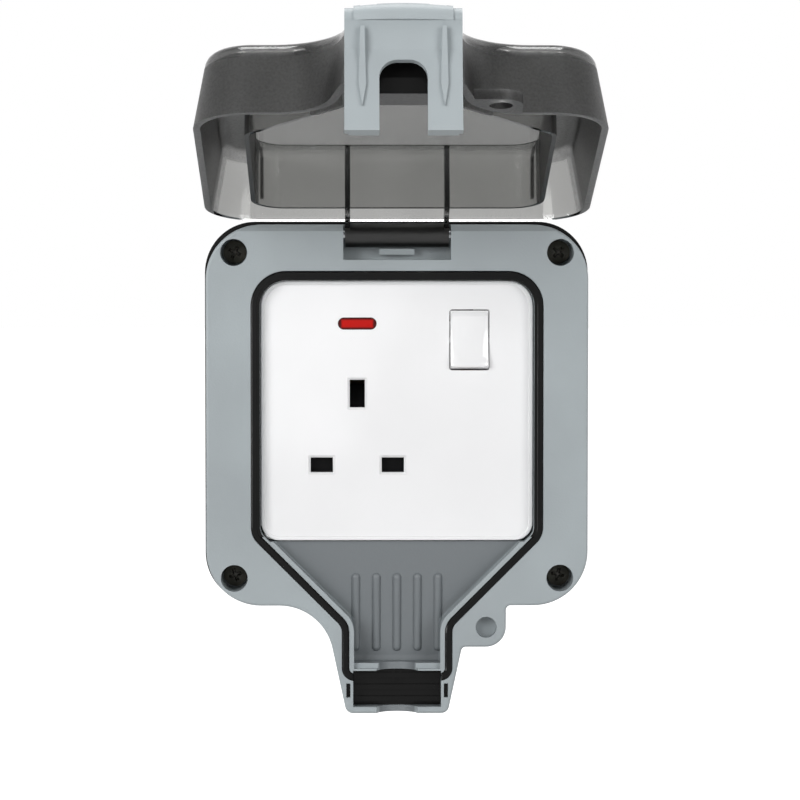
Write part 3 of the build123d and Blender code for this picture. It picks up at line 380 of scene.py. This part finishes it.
# %% [markdown]
# ## Grey moulding
#
# The frame, the back box and the latch are one grey, slightly blue plastic with a satin, spark-eroded
# surface. The sunk floor of the funnel, where the cable lies, is painted a darker grey as the shade that
# falls in that recess. A second part in another colour would leave a seam that the moulding doesn't have,
# so the frame has its own copy of the finish with a mask for that painted shade.

# %% Grey moulding
GREY = {"dark": "92999c", "light": "9ca4a7", "rough": (0.42, 0.55), "grain": (1400.0, 0.00012)}
# The funnel floor's grey is painted shade.
FUNNEL_SHADE_GREY = "6b7073"
FUNNEL_TOP = -0.0388
FUNNEL_CORNER = -0.0642
FUNNEL_HALF_WIDTH = 0.0139
FUNNEL_DEPTH = -0.0478
EDGE_FADE = 0.0008


def all_of(tree, mask, *others):
    """A mask that is 1 only where all the masks are 1."""
    for other in others:
        mask = math_node(tree, "MULTIPLY", mask, other)
    return mask


def past(tree, value, edge):
    """How far a value is past an edge, or zero before it."""
    return math_node(tree, "MAXIMUM", math_node(tree, "SUBTRACT", value, edge), 0.0)


def painted_funnel_shade(tree):
    """A mask that is 1 on the sunk floor between the socket front and the cable neck, where shade is
    painted.
    """
    x, y, z = axes_of(tree, object_place(tree))
    flare = past(tree, z, FUNNEL_CORNER)
    outside = math_node(tree, "SUBTRACT", math_node(tree, "ABSOLUTE", x), flare)
    within = mapped(tree, outside, FUNNEL_HALF_WIDTH - EDGE_FADE, FUNNEL_HALF_WIDTH, 1, 0)
    sunk = mapped(tree, y, FUNNEL_DEPTH, FUNNEL_DEPTH + EDGE_FADE, 0, 1)
    under = mapped(tree, z, FUNNEL_TOP - EDGE_FADE, FUNNEL_TOP, 1, 0)
    return all_of(tree, within, sunk, under)


grey_moulding = finish("grey_moulding", **GREY)
wear(grey_moulding, "back_box", "latch")
frame_moulding = finish("frame_moulding", **GREY)
# Painted shade: the funnel floor is tinted darker in the frame's colour.
tinted(frame_moulding, painted_funnel_shade(frame_moulding.node_tree), FUNNEL_SHADE_GREY)
wear(frame_moulding, "front_frame")

# %% [markdown]
# ## Faces of the smoky lid
#
# The side walls, the free end and the border of the roof are frosted in the mould and grainy, apart from
# the polished edge between wall and roof. All of these, the polished edge too, are painted darker as shade,
# and the grain spots them darker still. The sides of the skirt, its two ends, which show as bars on the
# wall at the hinge, and the hinge barrel get the deepest painted shade. The window in the roof and the rest
# of the wall at the hinge stay clear.
#
# The lid is one moulding and its mesh stays as it is, so it has one material, and masks find these faces by
# their distance from the rounded outline of the lid. That is simplest with the lid closed, so a Mapping
# node first turns the coordinates back about the hinge.

# %% Coordinates of the closed lid


def joint_named(name):
    """What the fixed parts say about one joint."""
    return next(joint for joint in frame["joints"] if joint["name"] == name)


hinge = joint_named("lid_hinge")
hinge_place = Vector(hinge["pos_m"])
lid_opening = -math.radians(hinge["range_deg"][0])


def closed_place(tree):
    """Object coordinates of the lid, turned back to where they are when it is closed."""
    closed = tree.nodes.new("ShaderNodeMapping")
    closing = Matrix.Rotation(lid_opening, 3, "X")
    closed.inputs["Rotation"].default_value = (lid_opening, 0, 0)
    closed.inputs["Location"].default_value = hinge_place - closing @ hinge_place
    tree.links.new(object_place(tree), closed.inputs["Vector"])
    return axes_of(tree, closed.outputs["Vector"])


print("lid opened by", round(math.degrees(lid_opening)), "degrees")

# %% Distance from the lid's outline
LID_HALF_WIDTH = 0.0595
LID_HALF_HEIGHT = 0.0594
LID_CORNER = 0.017
LID_RIM_DEPTH = 0.0508
LID_LEAN = math.tan(math.radians(10))
FROST_EDGE = 0.0002


def length_of(tree, first, second):
    """The length of a flat vector."""
    square = math_node(tree, "MULTIPLY_ADD", first, first, math_node(tree, "MULTIPLY", second, second))
    return math_node(tree, "SQRT", square)


def outline_distance(tree, aside, height, z):
    """How far a point is from the middle of a corner's round; the walls lean in towards the roof."""
    lean = math_node(tree, "MULTIPLY", height, LID_LEAN)
    across = past(tree, math_node(tree, "ADD", aside, lean), LID_HALF_WIDTH - LID_CORNER)
    along = past(tree, math_node(tree, "SUBTRACT", lean, z), LID_HALF_HEIGHT - LID_CORNER)
    return length_of(tree, across, along)


def above(tree, value, edge):
    """A mask that turns from 0 to 1 where a value passes an edge."""
    return mapped(tree, value, edge - FROST_EDGE, edge + FROST_EDGE, 0, 1)


def below(tree, value, edge):
    """A mask that turns from 1 to 0 where a value passes an edge."""
    return math_node(tree, "SUBTRACT", 1.0, above(tree, value, edge))


print("walls of the lid lean by", round(math.degrees(math.atan(LID_LEAN))), "degrees")

# %% Masks of the lid
WALL_DEPTH = 0.0026
WALL_HEIGHT = 0.0174
BORDER_WIDTH = 0.0100
EDGE_RADIUS = 0.0045
EDGE_SKIN = 0.0035
SKIRT_MIDDLE = 0.04435
SKIRT_HALF = 0.0009
SKIRT_TOP = 0.0203
SKIRT_REACH = 0.0455
SKIRT_END = 0.0438
SKIRT_FOOT = 0.0065
BARREL_RADIUS = 0.0040
MILLIMETRE = 0.001


def apart(tree, value, middle):
    """How far a value is from a middle, to either side."""
    return math_node(tree, "ABSOLUTE", math_node(tree, "SUBTRACT", value, middle))


def walls_and_border(tree, radius, height):
    """Masks of the walls with the border of the roof, where shade is painted, and of what is frosted there.
    """
    high = above(tree, height, WALL_HEIGHT)
    walls = above(tree, radius, LID_CORNER - WALL_DEPTH)
    border = all_of(tree, high, above(tree, radius, LID_CORNER - BORDER_WIDTH))
    dark = any_of(tree, walls, border)
    inward = math_node(tree, "SUBTRACT", radius, LID_CORNER - EDGE_RADIUS)
    upward = math_node(tree, "SUBTRACT", height, WALL_HEIGHT)
    skin = above(tree, length_of(tree, inward, upward), EDGE_SKIN)
    polished = all_of(tree, high, skin, above(tree, inward, 0.0))
    return dark, all_of(tree, dark, math_node(tree, "SUBTRACT", 1.0, polished))


def skirt_and_barrel(tree, aside, y, z, height):
    """A mask of the deepest painted shade: the skirt's sides, its ends at the hinge and the hinge barrel.
    """
    under_roof = below(tree, height, SKIRT_TOP)
    sides = below(tree, apart(tree, aside, SKIRT_MIDDLE), SKIRT_HALF)
    sides = all_of(tree, sides, under_roof, below(tree, math_node(tree, "ABSOLUTE", z), SKIRT_REACH))
    ends = below(tree, apart(tree, aside, SKIRT_END), SKIRT_HALF)
    ends = all_of(tree, ends, under_roof, above(tree, z, SKIRT_REACH), above(tree, height, SKIRT_FOOT))
    from_pin = length_of(tree, math_node(tree, "SUBTRACT", y, hinge_place.y),
                         math_node(tree, "SUBTRACT", z, hinge_place.z))
    return any_of(tree, sides, ends, below(tree, from_pin, BARREL_RADIUS))


def lid_masks(tree):
    """Masks of the lid: its border and walls painted with shade, what is frosted of them, and the parts
    painted darkest.
    """
    x, y, z = closed_place(tree)
    aside = math_node(tree, "ABSOLUTE", x)
    height = math_node(tree, "SUBTRACT", -LID_RIM_DEPTH, y)
    radius = outline_distance(tree, aside, height, z)
    return (*walls_and_border(tree, radius, height), skirt_and_barrel(tree, aside, y, z, height))


print("border of the roof", round(BORDER_WIDTH / MILLIMETRE, 1), "mm wide")

# %% [markdown]
# ## Smoky lid
#
# The lid is clear plastic with dark dye in it. A tint on the surface alone would make every wall equally
# dark. The dye is in the thickness, though: a wall seen face on is pale, and a web seen along its edge is
# nearly black. So the dye is an absorbing volume inside the mesh, and the surface stays clear except where
# the masks paint shade into its colour: darker on the walls and the border of the roof, darkest on the
# skirt and the barrel. The masks also make the frosted faces rough and keep the grain off the polished
# ones.

# %% Surface of the lid
LID_GRAIN_SCALE = 1300.0
LID_GRAIN_DEPTH = 0.0001
# Greys of painted shade on the lid.
LID_WALL_SHADE_GREY = "d0d0cf"
LID_GRAIN_SHADE_GREY = "a4a4a3"
LID_DEEP_SHADE_GREY = "40403f"
FROST_ROUGHNESS = 0.36

smoky_lid = finish("smoky_lid", "dededc", "e6e6e4", rough=(0.06, 0.12),
                   grain=(LID_GRAIN_SCALE, LID_GRAIN_DEPTH), **{"Transmission Weight": 1.0, "IOR": 1.49})
lid_tree = smoky_lid.node_tree
dark, frosted, darkest = lid_masks(lid_tree)
frost_grain = placed(lid_tree, grain_group, LID_GRAIN_SCALE)
# Painted shade: walls and roof border tinted darker, grain spots darker still, skirt and barrel darkest.
tinted(smoky_lid, dark, LID_WALL_SHADE_GREY)
tinted(smoky_lid, all_of(lid_tree, dark, frost_grain.outputs["Mask"]), LID_GRAIN_SHADE_GREY)
tinted(smoky_lid, darkest, LID_DEEP_SHADE_GREY)
frosted = any_of(lid_tree, frosted, darkest)
lid_roughness = lid_tree.nodes["Principled BSDF"].inputs["Roughness"]
lid_polish = lid_roughness.links[0].from_socket
lid_frosting = math_node(lid_tree, "MULTIPLY_ADD", frosted, FROST_ROUGHNESS, lid_polish)
lid_tree.links.new(lid_frosting, lid_roughness)
lid_bump = lid_tree.nodes["Bump"].inputs["Height"]
lid_tree.links.new(all_of(lid_tree, lid_bump.links[0].from_socket, frosted), lid_bump)
wear(smoky_lid, "lid")

# %% Dye in the lid
DYE_COLOUR = (0.02, 0.02, 0.02, 1)
DYE_PER_METRE = 330.0

dye = lid_tree.nodes.new("ShaderNodeVolumeAbsorption")
dye.inputs["Color"].default_value = DYE_COLOUR
dye.inputs["Density"].default_value = DYE_PER_METRE
lid_tree.links.new(dye.outputs["Volume"], lid_tree.nodes["Material Output"].inputs["Volume"])
passing = math.exp(-DYE_PER_METRE * (1 - DYE_COLOUR[0]) * MILLIMETRE)
print("a millimetre of the lid lets", round(100 * passing), "percent of the light pass")

# %% [markdown]
# ## White socket front
#
# The socket front and the rocker are glossy white plastic, the inner pieces a plainer white, and the
# shutter behind the pin slots is black. A pure white would burn out under the lamps and show no form, so
# the white stops short of it. Gloss could come from a low roughness alone. A thin clear coat on top gives
# the mirror of the lamps a sharper edge.

# %% Whites
white_plate = finish("white_plate", "e7e7e8", "ebebec", rough=(0.05, 0.08), grain=(700.0, 0.000004),
                     **{"Coat Weight": 0.3, "Coat Roughness": 0.04})
white_inner = finish("white_inner", "dcdcd9", "e2e2df", rough=(0.35, 0.45), grain=(1200.0, 0.00005))
black_inner = finish("black_inner", "0d0d0e", "121213", rough=(0.4, 0.5), grain=(1200.0, 0.00005),
                     **{"Specular IOR Level": 0.06})
wear(white_plate, "faceplate", "switch_rocker")
wear(white_inner, "rear_housing", "rocker_plunger")
wear(black_inner, "shutter")

# %% [markdown]
# ## Black rubber
#
# Gasket, box seal and cable grommets are soft black rubber with a slight sheen. Rubber reflects less than
# hard plastic, so its specular level is low. A roughness in the middle would spread the light of the lamps
# into a grey veil, so it is low too, and the highlights stay narrow on a deep black.

# %% Rubber
black_rubber = finish("black_rubber", "0b0b0b", "121212", rough=(0.17, 0.27), grain=(1100.0, 0.00004),
                      **{"Specular IOR Level": 0.1})
wear(black_rubber, "box_seal", "lid_gasket", "cable_grommet", "lid_grommet")

# %% [markdown]
# ## Neon indicator
#
# A red lens with the lamp behind it. Its middle is bright red, and it darkens towards the rim, where
# the window of the socket front shades it. A lens that shines by itself would tint the white around it, so
# it is a plain red finish, and a mask that measures the distance past the bright middle darkens its rim.

# %% Neon
LENS_MIDDLE = (0.0046, 0.0009)
LENS_FADE = 0.0006
LENS_RIM_RED = "4a1010"


def box_of(name):
    """The lowest and the highest corner of a part."""
    return [Vector(corner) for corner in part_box(name)]


lens_low, lens_high = box_of("neon_lens")
lens_centre = (lens_low + lens_high) / 2


def lens_rim(tree):
    """A mask that is 0 in the middle of the lens and 1 at its rim."""
    place = axes_of(tree, object_place(tree))
    outside = [
        math_node(tree, "SUBTRACT", apart(tree, place[axis], middle), half)
        for axis, middle, half in zip("XZ", lens_centre.xz, LENS_MIDDLE)
    ]
    return mapped(tree, math_node(tree, "MAXIMUM", *outside), 0, LENS_FADE, 0, 1)


red_lens = finish("red_lens", "b4150f", "c01711", rough=(0.12, 0.18), grain=(900.0, 0.00002),
                  **{"Specular IOR Level": 0.08})
tinted(red_lens, lens_rim(red_lens.node_tree), LENS_RIM_RED)
lamp_glass = finish("lamp_glass", "e8d8c8", "f0e4d8", rough=(0.05, 0.08), grain=(900.0, 0.00001),
                    **{"Transmission Weight": 0.8, "IOR": 1.5})
resistor_body = finish("resistor_body", "c9ab7c", "d6ba8e", rough=(0.4, 0.5), grain=(1200.0, 0.00003))
wear(red_lens, "neon_lens")
wear(lamp_glass, "neon_lamp")
wear(resistor_body, "neon_resistor")

# %% [markdown]
# ## Metals
#
# The contacts that grip the pins are dark spring bronze, the terminals and the switch are brass, and
# zinc-plated steel does the rest. On bare metal the base colour is the colour of the reflection, so
# Metallic is 1, or a little less on the dull bronze. The corner screws are blackened: their coating hides
# the metal, so they get a plain dark finish.

# %% Metals
bronze = finish("bronze", "3c3223", "4a3e2c", rough=(0.45, 0.6), grain=(1500.0, 0.00003), Metallic=0.8)
brass = finish("brass", "a08042", "b08f4e", rough=(0.26, 0.38), grain=(1500.0, 0.00003), Metallic=1.0)
steel = finish("steel", "a9adb0", "bcc0c3", rough=(0.22, 0.34), grain=(1500.0, 0.00003), Metallic=1.0)
black_screw = finish("black_screw", "4c4a42", "5e5b50", rough=(0.3, 0.42), grain=(1500.0, 0.00004),
                     **{"Specular IOR Level": 0.4})
wear(bronze, "neutral_contact", "earth_contact", "live_contact")
wear(brass, "neutral_terminal", "earth_terminal", "live_terminal", "switch_stand", "switch_lever",
     "fixed_contact")
wear(steel, "hinge_pin", "latch_pin", "module_screws", "housing_screws", "terminal_screws",
     "plunger_spring")

# %% [markdown]
# ## Corner screws
#
# Four black screws hold the frame to the back box, each with a cross recess in a domed head. A cross cut
# out with a boolean would leave thin faces that shade badly. So the head is a grid of five by five faces:
# its edge is moved out to a circle, the cross in the middle is extruded down and tapered, and the edge is
# extruded to the side of the head, the seat and the shank. A bevel keeps the edges crisp when the
# Subdivision Surface modifier rounds the rest.

# %% Head of a screw
SCREW_HEAD = 0.0037
SCREW_HEAD_HEIGHT = 0.0026
SCREW_DOME = 0.0008
CROSS_DEPTH = 0.0014
CROSS_TAPER = 0.66
# Lines of the grid, counted from its middle, and where they go as shares of the head's radius.
CROSS_SIDE = 1
CROSS_END = 3
HEAD_EDGE = 5
LINE_SHARES = {CROSS_SIDE: 0.15, CROSS_END: 0.58, HEAD_EDGE: 1.0}


def points_of(made):
    """The vertices among what an operator has made."""
    return [item for item in made["geom"] if isinstance(item, bmesh.types.BMVert)]


def in_cross(face):
    """Whether a face of the grid belongs to the cross in its middle."""
    near, far = sorted(abs(c) for c in face.calc_center_median().xy)
    return near < CROSS_SIDE and far < CROSS_END


def cross_head():
    """The domed top of a screw head along Z, with its cross recess."""
    mesh = bmesh.new()
    bmesh.ops.create_grid(mesh, x_segments=HEAD_EDGE, y_segments=HEAD_EDGE, size=HEAD_EDGE)
    cross = [face for face in mesh.faces if in_cross(face)]
    for vertex in mesh.verts:
        lines = [round(abs(c)) for c in vertex.co.xy]
        place = Vector([math.copysign(LINE_SHARES[line], c) for line, c in zip(lines, vertex.co.xy)])
        if HEAD_EDGE in lines:
            place.normalize()
        drop = SCREW_DOME * place.length_squared
        vertex.co = (*(place * SCREW_HEAD), SCREW_HEAD_HEIGHT - drop)
    sunk = points_of(bmesh.ops.extrude_face_region(mesh, geom=cross))
    bmesh.ops.translate(mesh, verts=sunk, vec=(0, 0, -CROSS_DEPTH))
    bmesh.ops.scale(mesh, verts=sunk, vec=(CROSS_TAPER, CROSS_TAPER, 1))
    bmesh.ops.delete(mesh, geom=[face for face in cross if face.is_valid], context="FACES_ONLY")
    return mesh


print("screw heads", round(2 * SCREW_HEAD / MILLIMETRE, 1), "mm across")

# %% One screw
SCREW_SHANK = 0.00175
SCREW_EDGE = 0.00014
SCREW_EDGE_STEPS = 2
SHARP_ANGLE = math.radians(35)


def bevelled(mesh, geom, radius, segments, affect="EDGES"):
    """Round the given edges, or the given corners of a flat face."""
    bmesh.ops.bevel(mesh, geom=geom, offset=radius, segments=segments, profile=0.5,
                    affect=affect, material=-1)


def cross_screw(length):
    """A screw along Z with its seat at zero and its cross recess on top."""
    mesh = cross_head()
    ring = [edge for edge in mesh.edges if edge.is_boundary]
    for radius, height in ((SCREW_HEAD, 0), (SCREW_SHANK, 0), (SCREW_SHANK, -length)):
        made = bmesh.ops.extrude_edge_only(mesh, edges=ring)
        for point in points_of(made):
            point.co = (*(point.co.xy.normalized() * radius), height)
        edges = [item for item in made["geom"] if isinstance(item, bmesh.types.BMEdge)]
        ring = [edge for edge in edges if edge.is_boundary]
    bmesh.ops.contextual_create(mesh, geom=ring)
    bmesh.ops.recalc_face_normals(mesh, faces=mesh.faces)
    sharp = [edge for edge in mesh.edges if edge.calc_face_angle(0) > SHARP_ANGLE]
    bevelled(mesh, sharp, SCREW_EDGE, SCREW_EDGE_STEPS)
    return mesh


screws_low, screws_high = box_of("frame_screws")
seat_y = screws_low.y + SCREW_HEAD_HEIGHT
screw = cross_screw(screws_high.y - seat_y)
print("faces of one screw", len(screw.faces), "open edges", sum(edge.is_boundary for edge in screw.edges))
one_screw = bpy.data.meshes.new("one_screw")
screw.to_mesh(one_screw)
screw.free()

# %% Four screws in their corners
SCREW_TURNS = (0.35, 1.1, -0.25, 0.8)
ROUNDING_LEVELS = 2

corners = [(x, z) for x in (screws_low.x + SCREW_HEAD, screws_high.x - SCREW_HEAD)
           for z in (screws_low.z + SCREW_HEAD, screws_high.z - SCREW_HEAD)]
screw_set = bmesh.new()
for (x, z), turn in zip(corners, SCREW_TURNS):
    others = len(screw_set.verts)
    screw_set.from_mesh(one_screw)
    screw_set.verts.ensure_lookup_table()
    points = screw_set.verts[others:]
    facing = Matrix.Rotation(QUARTER_TURN, 3, "X") @ Matrix.Rotation(turn, 3, "Z")
    bmesh.ops.rotate(screw_set, verts=points, matrix=facing)
    bmesh.ops.translate(screw_set, verts=points, vec=(x, seat_y, z))
bpy.data.meshes.remove(one_screw)
for face in screw_set.faces:
    face.smooth = True
corner_screws = new_object("corner_screws", screw_set)
rounding = corner_screws.modifiers.new("rounding", "SUBSURF")
rounding.levels = rounding.render_levels = ROUNDING_LEVELS
corner_screws.data.materials.append(black_screw)
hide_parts("frame_screws")
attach(corner_screws, "base")
print("corner screws", len(corners))

# %% [markdown]
# ## Rim of the socket front
#
# A narrow raised rim runs round the socket front and catches more light than the face. A profile swept
# along the outline would do, but an inset keeps the width even round the corners. So the rim starts as four
# vertices whose corners are rounded with a vertex bevel. The face is inset to a ring, the ring extruded
# towards the viewer, and its front edges are softened with an edge bevel.

# %% Helpers for flat pieces
CORNER_STEPS = 8
SIDE_ANGLE = math.radians(60)


def rounded_face(mesh, half_width, top, bottom, radii, y):
    """A flat upright face at one depth, with a radius for each corner, clockwise from the top left."""
    outline = ((-half_width, top), (half_width, top), (half_width, bottom), (-half_width, bottom))
    points = [mesh.verts.new((x, y, z)) for x, z in outline]
    mesh.faces.new(points)
    for point, radius in zip(points, radii):
        bevelled(mesh, [point], radius, CORNER_STEPS, "VERTICES")
    return mesh.faces[:]


def front_edges(mesh, depth):
    """Edges in front of a depth, between the front and the sides of a flat piece."""
    return [
        edge for edge in mesh.edges
        if edge.calc_face_angle(0) > SIDE_ANGLE and all(point.co.y < depth for point in edge.verts)
    ]


def new_piece(name, mesh, material, body):
    """Make a finished mesh an object, smooth where it is round, that rides on a body."""
    for face in mesh.faces:
        face.smooth = True
    piece = new_object(name, mesh)
    piece.data.set_sharp_from_angle(angle=SHARP_ANGLE)
    piece.data.materials.append(material)
    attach(piece, body)
    print(name, "faces", len(piece.data.polygons))
    return piece


print("rounded corners have", CORNER_STEPS, "steps")

# %% Rim
PLATE_HALF_WIDTH = 0.0424
PLATE_TOP = 0.0419
PLATE_BOTTOM = -0.0392
PLATE_RADII = (0.0078, 0.0078, 0.0055, 0.0055)
PLATE_FACE = -0.0465
RIM_WIDTH = 0.0013
RIM_PROUD = 0.0002
RIM_BEHIND = 0.0011
RIM_EDGE = 0.0003
RIM_EDGE_STEPS = 3

rim = bmesh.new()
plate = rounded_face(rim, PLATE_HALF_WIDTH, PLATE_TOP, PLATE_BOTTOM, PLATE_RADII, PLATE_FACE + RIM_BEHIND)
bmesh.ops.inset_region(rim, faces=plate, thickness=RIM_WIDTH, use_even_offset=True, use_boundary=True)
bmesh.ops.delete(rim, geom=plate, context="FACES_ONLY")
raised = points_of(bmesh.ops.extrude_face_region(rim, geom=rim.faces[:]))
bmesh.ops.translate(rim, verts=raised, vec=(0, -RIM_BEHIND - RIM_PROUD, 0))
bmesh.ops.recalc_face_normals(rim, faces=rim.faces)
bevelled(rim, front_edges(rim, PLATE_FACE), RIM_EDGE, RIM_EDGE_STEPS)
new_piece("plate_rim", rim, white_plate, "base")

# %% [markdown]
# ## Cap of the rocker
#
# The rocker's face is dished: its upper half looks down and is shaded, its lower half looks up and is
# bright, with a small bevel at the top. A thin cap on the fixed rocker shows this. It is a rounded face cut
# into strips, whose vertices are moved to the dished profile before it is extruded and softened. It is
# drawn level and then turned about the pivot to the off position, top pressed in.

# %% Rocker cap
CAP_HALF_WIDTH = 0.0058
CAP_TOP = 0.00835
CAP_BOTTOM = -0.0090
CAP_CORNER = 0.0013
CAP_MIDDLE = 0.0026
CAP_RISE_BELOW = 0.0006
CAP_RISE_ABOVE = 0.0019
CAP_BEVEL_FROM = 0.0069
CAP_BEVEL_SLOPE = 0.3
CAP_BACK = 0.0018
CAP_SIDE = 0.0003
CAP_EDGE = 0.00022
CAP_EDGE_STEPS = 2
CAP_STRIPS = 24
ROCKER_REST = math.radians(-9)


def cap_front(z):
    """How far the cap's face stands in front of the pivot at a height."""
    rise = CAP_RISE_ABOVE if z > 0 else CAP_RISE_BELOW
    dish = CAP_MIDDLE + rise * (min(z, CAP_BEVEL_FROM) / CAP_TOP) ** 2
    return dish - CAP_BEVEL_SLOPE * max(z - CAP_BEVEL_FROM, 0)


cap = bmesh.new()
rounded_face(cap, CAP_HALF_WIDTH, CAP_TOP, CAP_BOTTOM, [CAP_CORNER] * 4, 0)
cuts = [CAP_BOTTOM + (CAP_TOP - CAP_BOTTOM) * step / CAP_STRIPS for step in range(1, CAP_STRIPS)]
for cut in (*cuts, CAP_BEVEL_FROM):
    bmesh.ops.bisect_plane(cap, geom=cap.verts[:] + cap.edges[:] + cap.faces[:],
                           plane_co=(0, 0, cut), plane_no=(0, 0, 1))
for point in cap.verts:
    point.co.y = -cap_front(point.co.z)
for point in points_of(bmesh.ops.extrude_face_region(cap, geom=cap.faces[:])):
    point.co.y = -CAP_BACK
bmesh.ops.recalc_face_normals(cap, faces=cap.faces)
bevelled(cap, front_edges(cap, -CAP_BACK - CAP_SIDE), CAP_EDGE, CAP_EDGE_STEPS)
bmesh.ops.rotate(cap, verts=cap.verts, matrix=Matrix.Rotation(ROCKER_REST, 3, "X"))
bmesh.ops.translate(cap, verts=cap.verts, vec=joint_named("rocker_pivot")["pos_m"])
new_piece("rocker_cap", cap, white_plate, "rocker_body")

# %% [markdown]
# ## Shutter spring
#
# Below the safety shutter a small coil spring holds it up. A curve with a round bevel could make the coil,
# but its ends would need closing. Here a disc of wire is spun about the axis of the spring and lifted a
# little at each step, which winds it into a closed coil.

# %% Coil
SPRING_WIRE = 0.00035
SPRING_SIDES = 8
SPRING_TURNS = 6
SPRING_STEPS = 120

spring_low, spring_high = box_of("shutter_spring")
spring_middle = (spring_low + spring_high) / 2
coil_radius = (spring_high.x - spring_low.x) / 2 - SPRING_WIRE
coil_rise = spring_high.z - spring_low.z - 2 * SPRING_WIRE
coil_start = (spring_middle.x + coil_radius, spring_middle.y, spring_low.z + SPRING_WIRE)
coil = bmesh.new()
bmesh.ops.create_circle(coil, cap_ends=True, segments=SPRING_SIDES, radius=SPRING_WIRE)
bmesh.ops.rotate(coil, verts=coil.verts, matrix=Matrix.Rotation(QUARTER_TURN, 3, "X"))
bmesh.ops.translate(coil, verts=coil.verts, vec=coil_start)
bmesh.ops.spin(coil, geom=coil.verts[:] + coil.edges[:] + coil.faces[:], cent=spring_middle, axis=(0, 0, 1),
               dvec=(0, 0, coil_rise / SPRING_STEPS), angle=math.tau * SPRING_TURNS, steps=SPRING_STEPS)
bmesh.ops.recalc_face_normals(coil, faces=coil.faces)
print("open edges of the coil", sum(not edge.is_manifold for edge in coil.edges))
shutter_coil = new_piece("shutter_coil", coil, steel, "base")
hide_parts("shutter_spring")

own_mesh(shutter_coil)
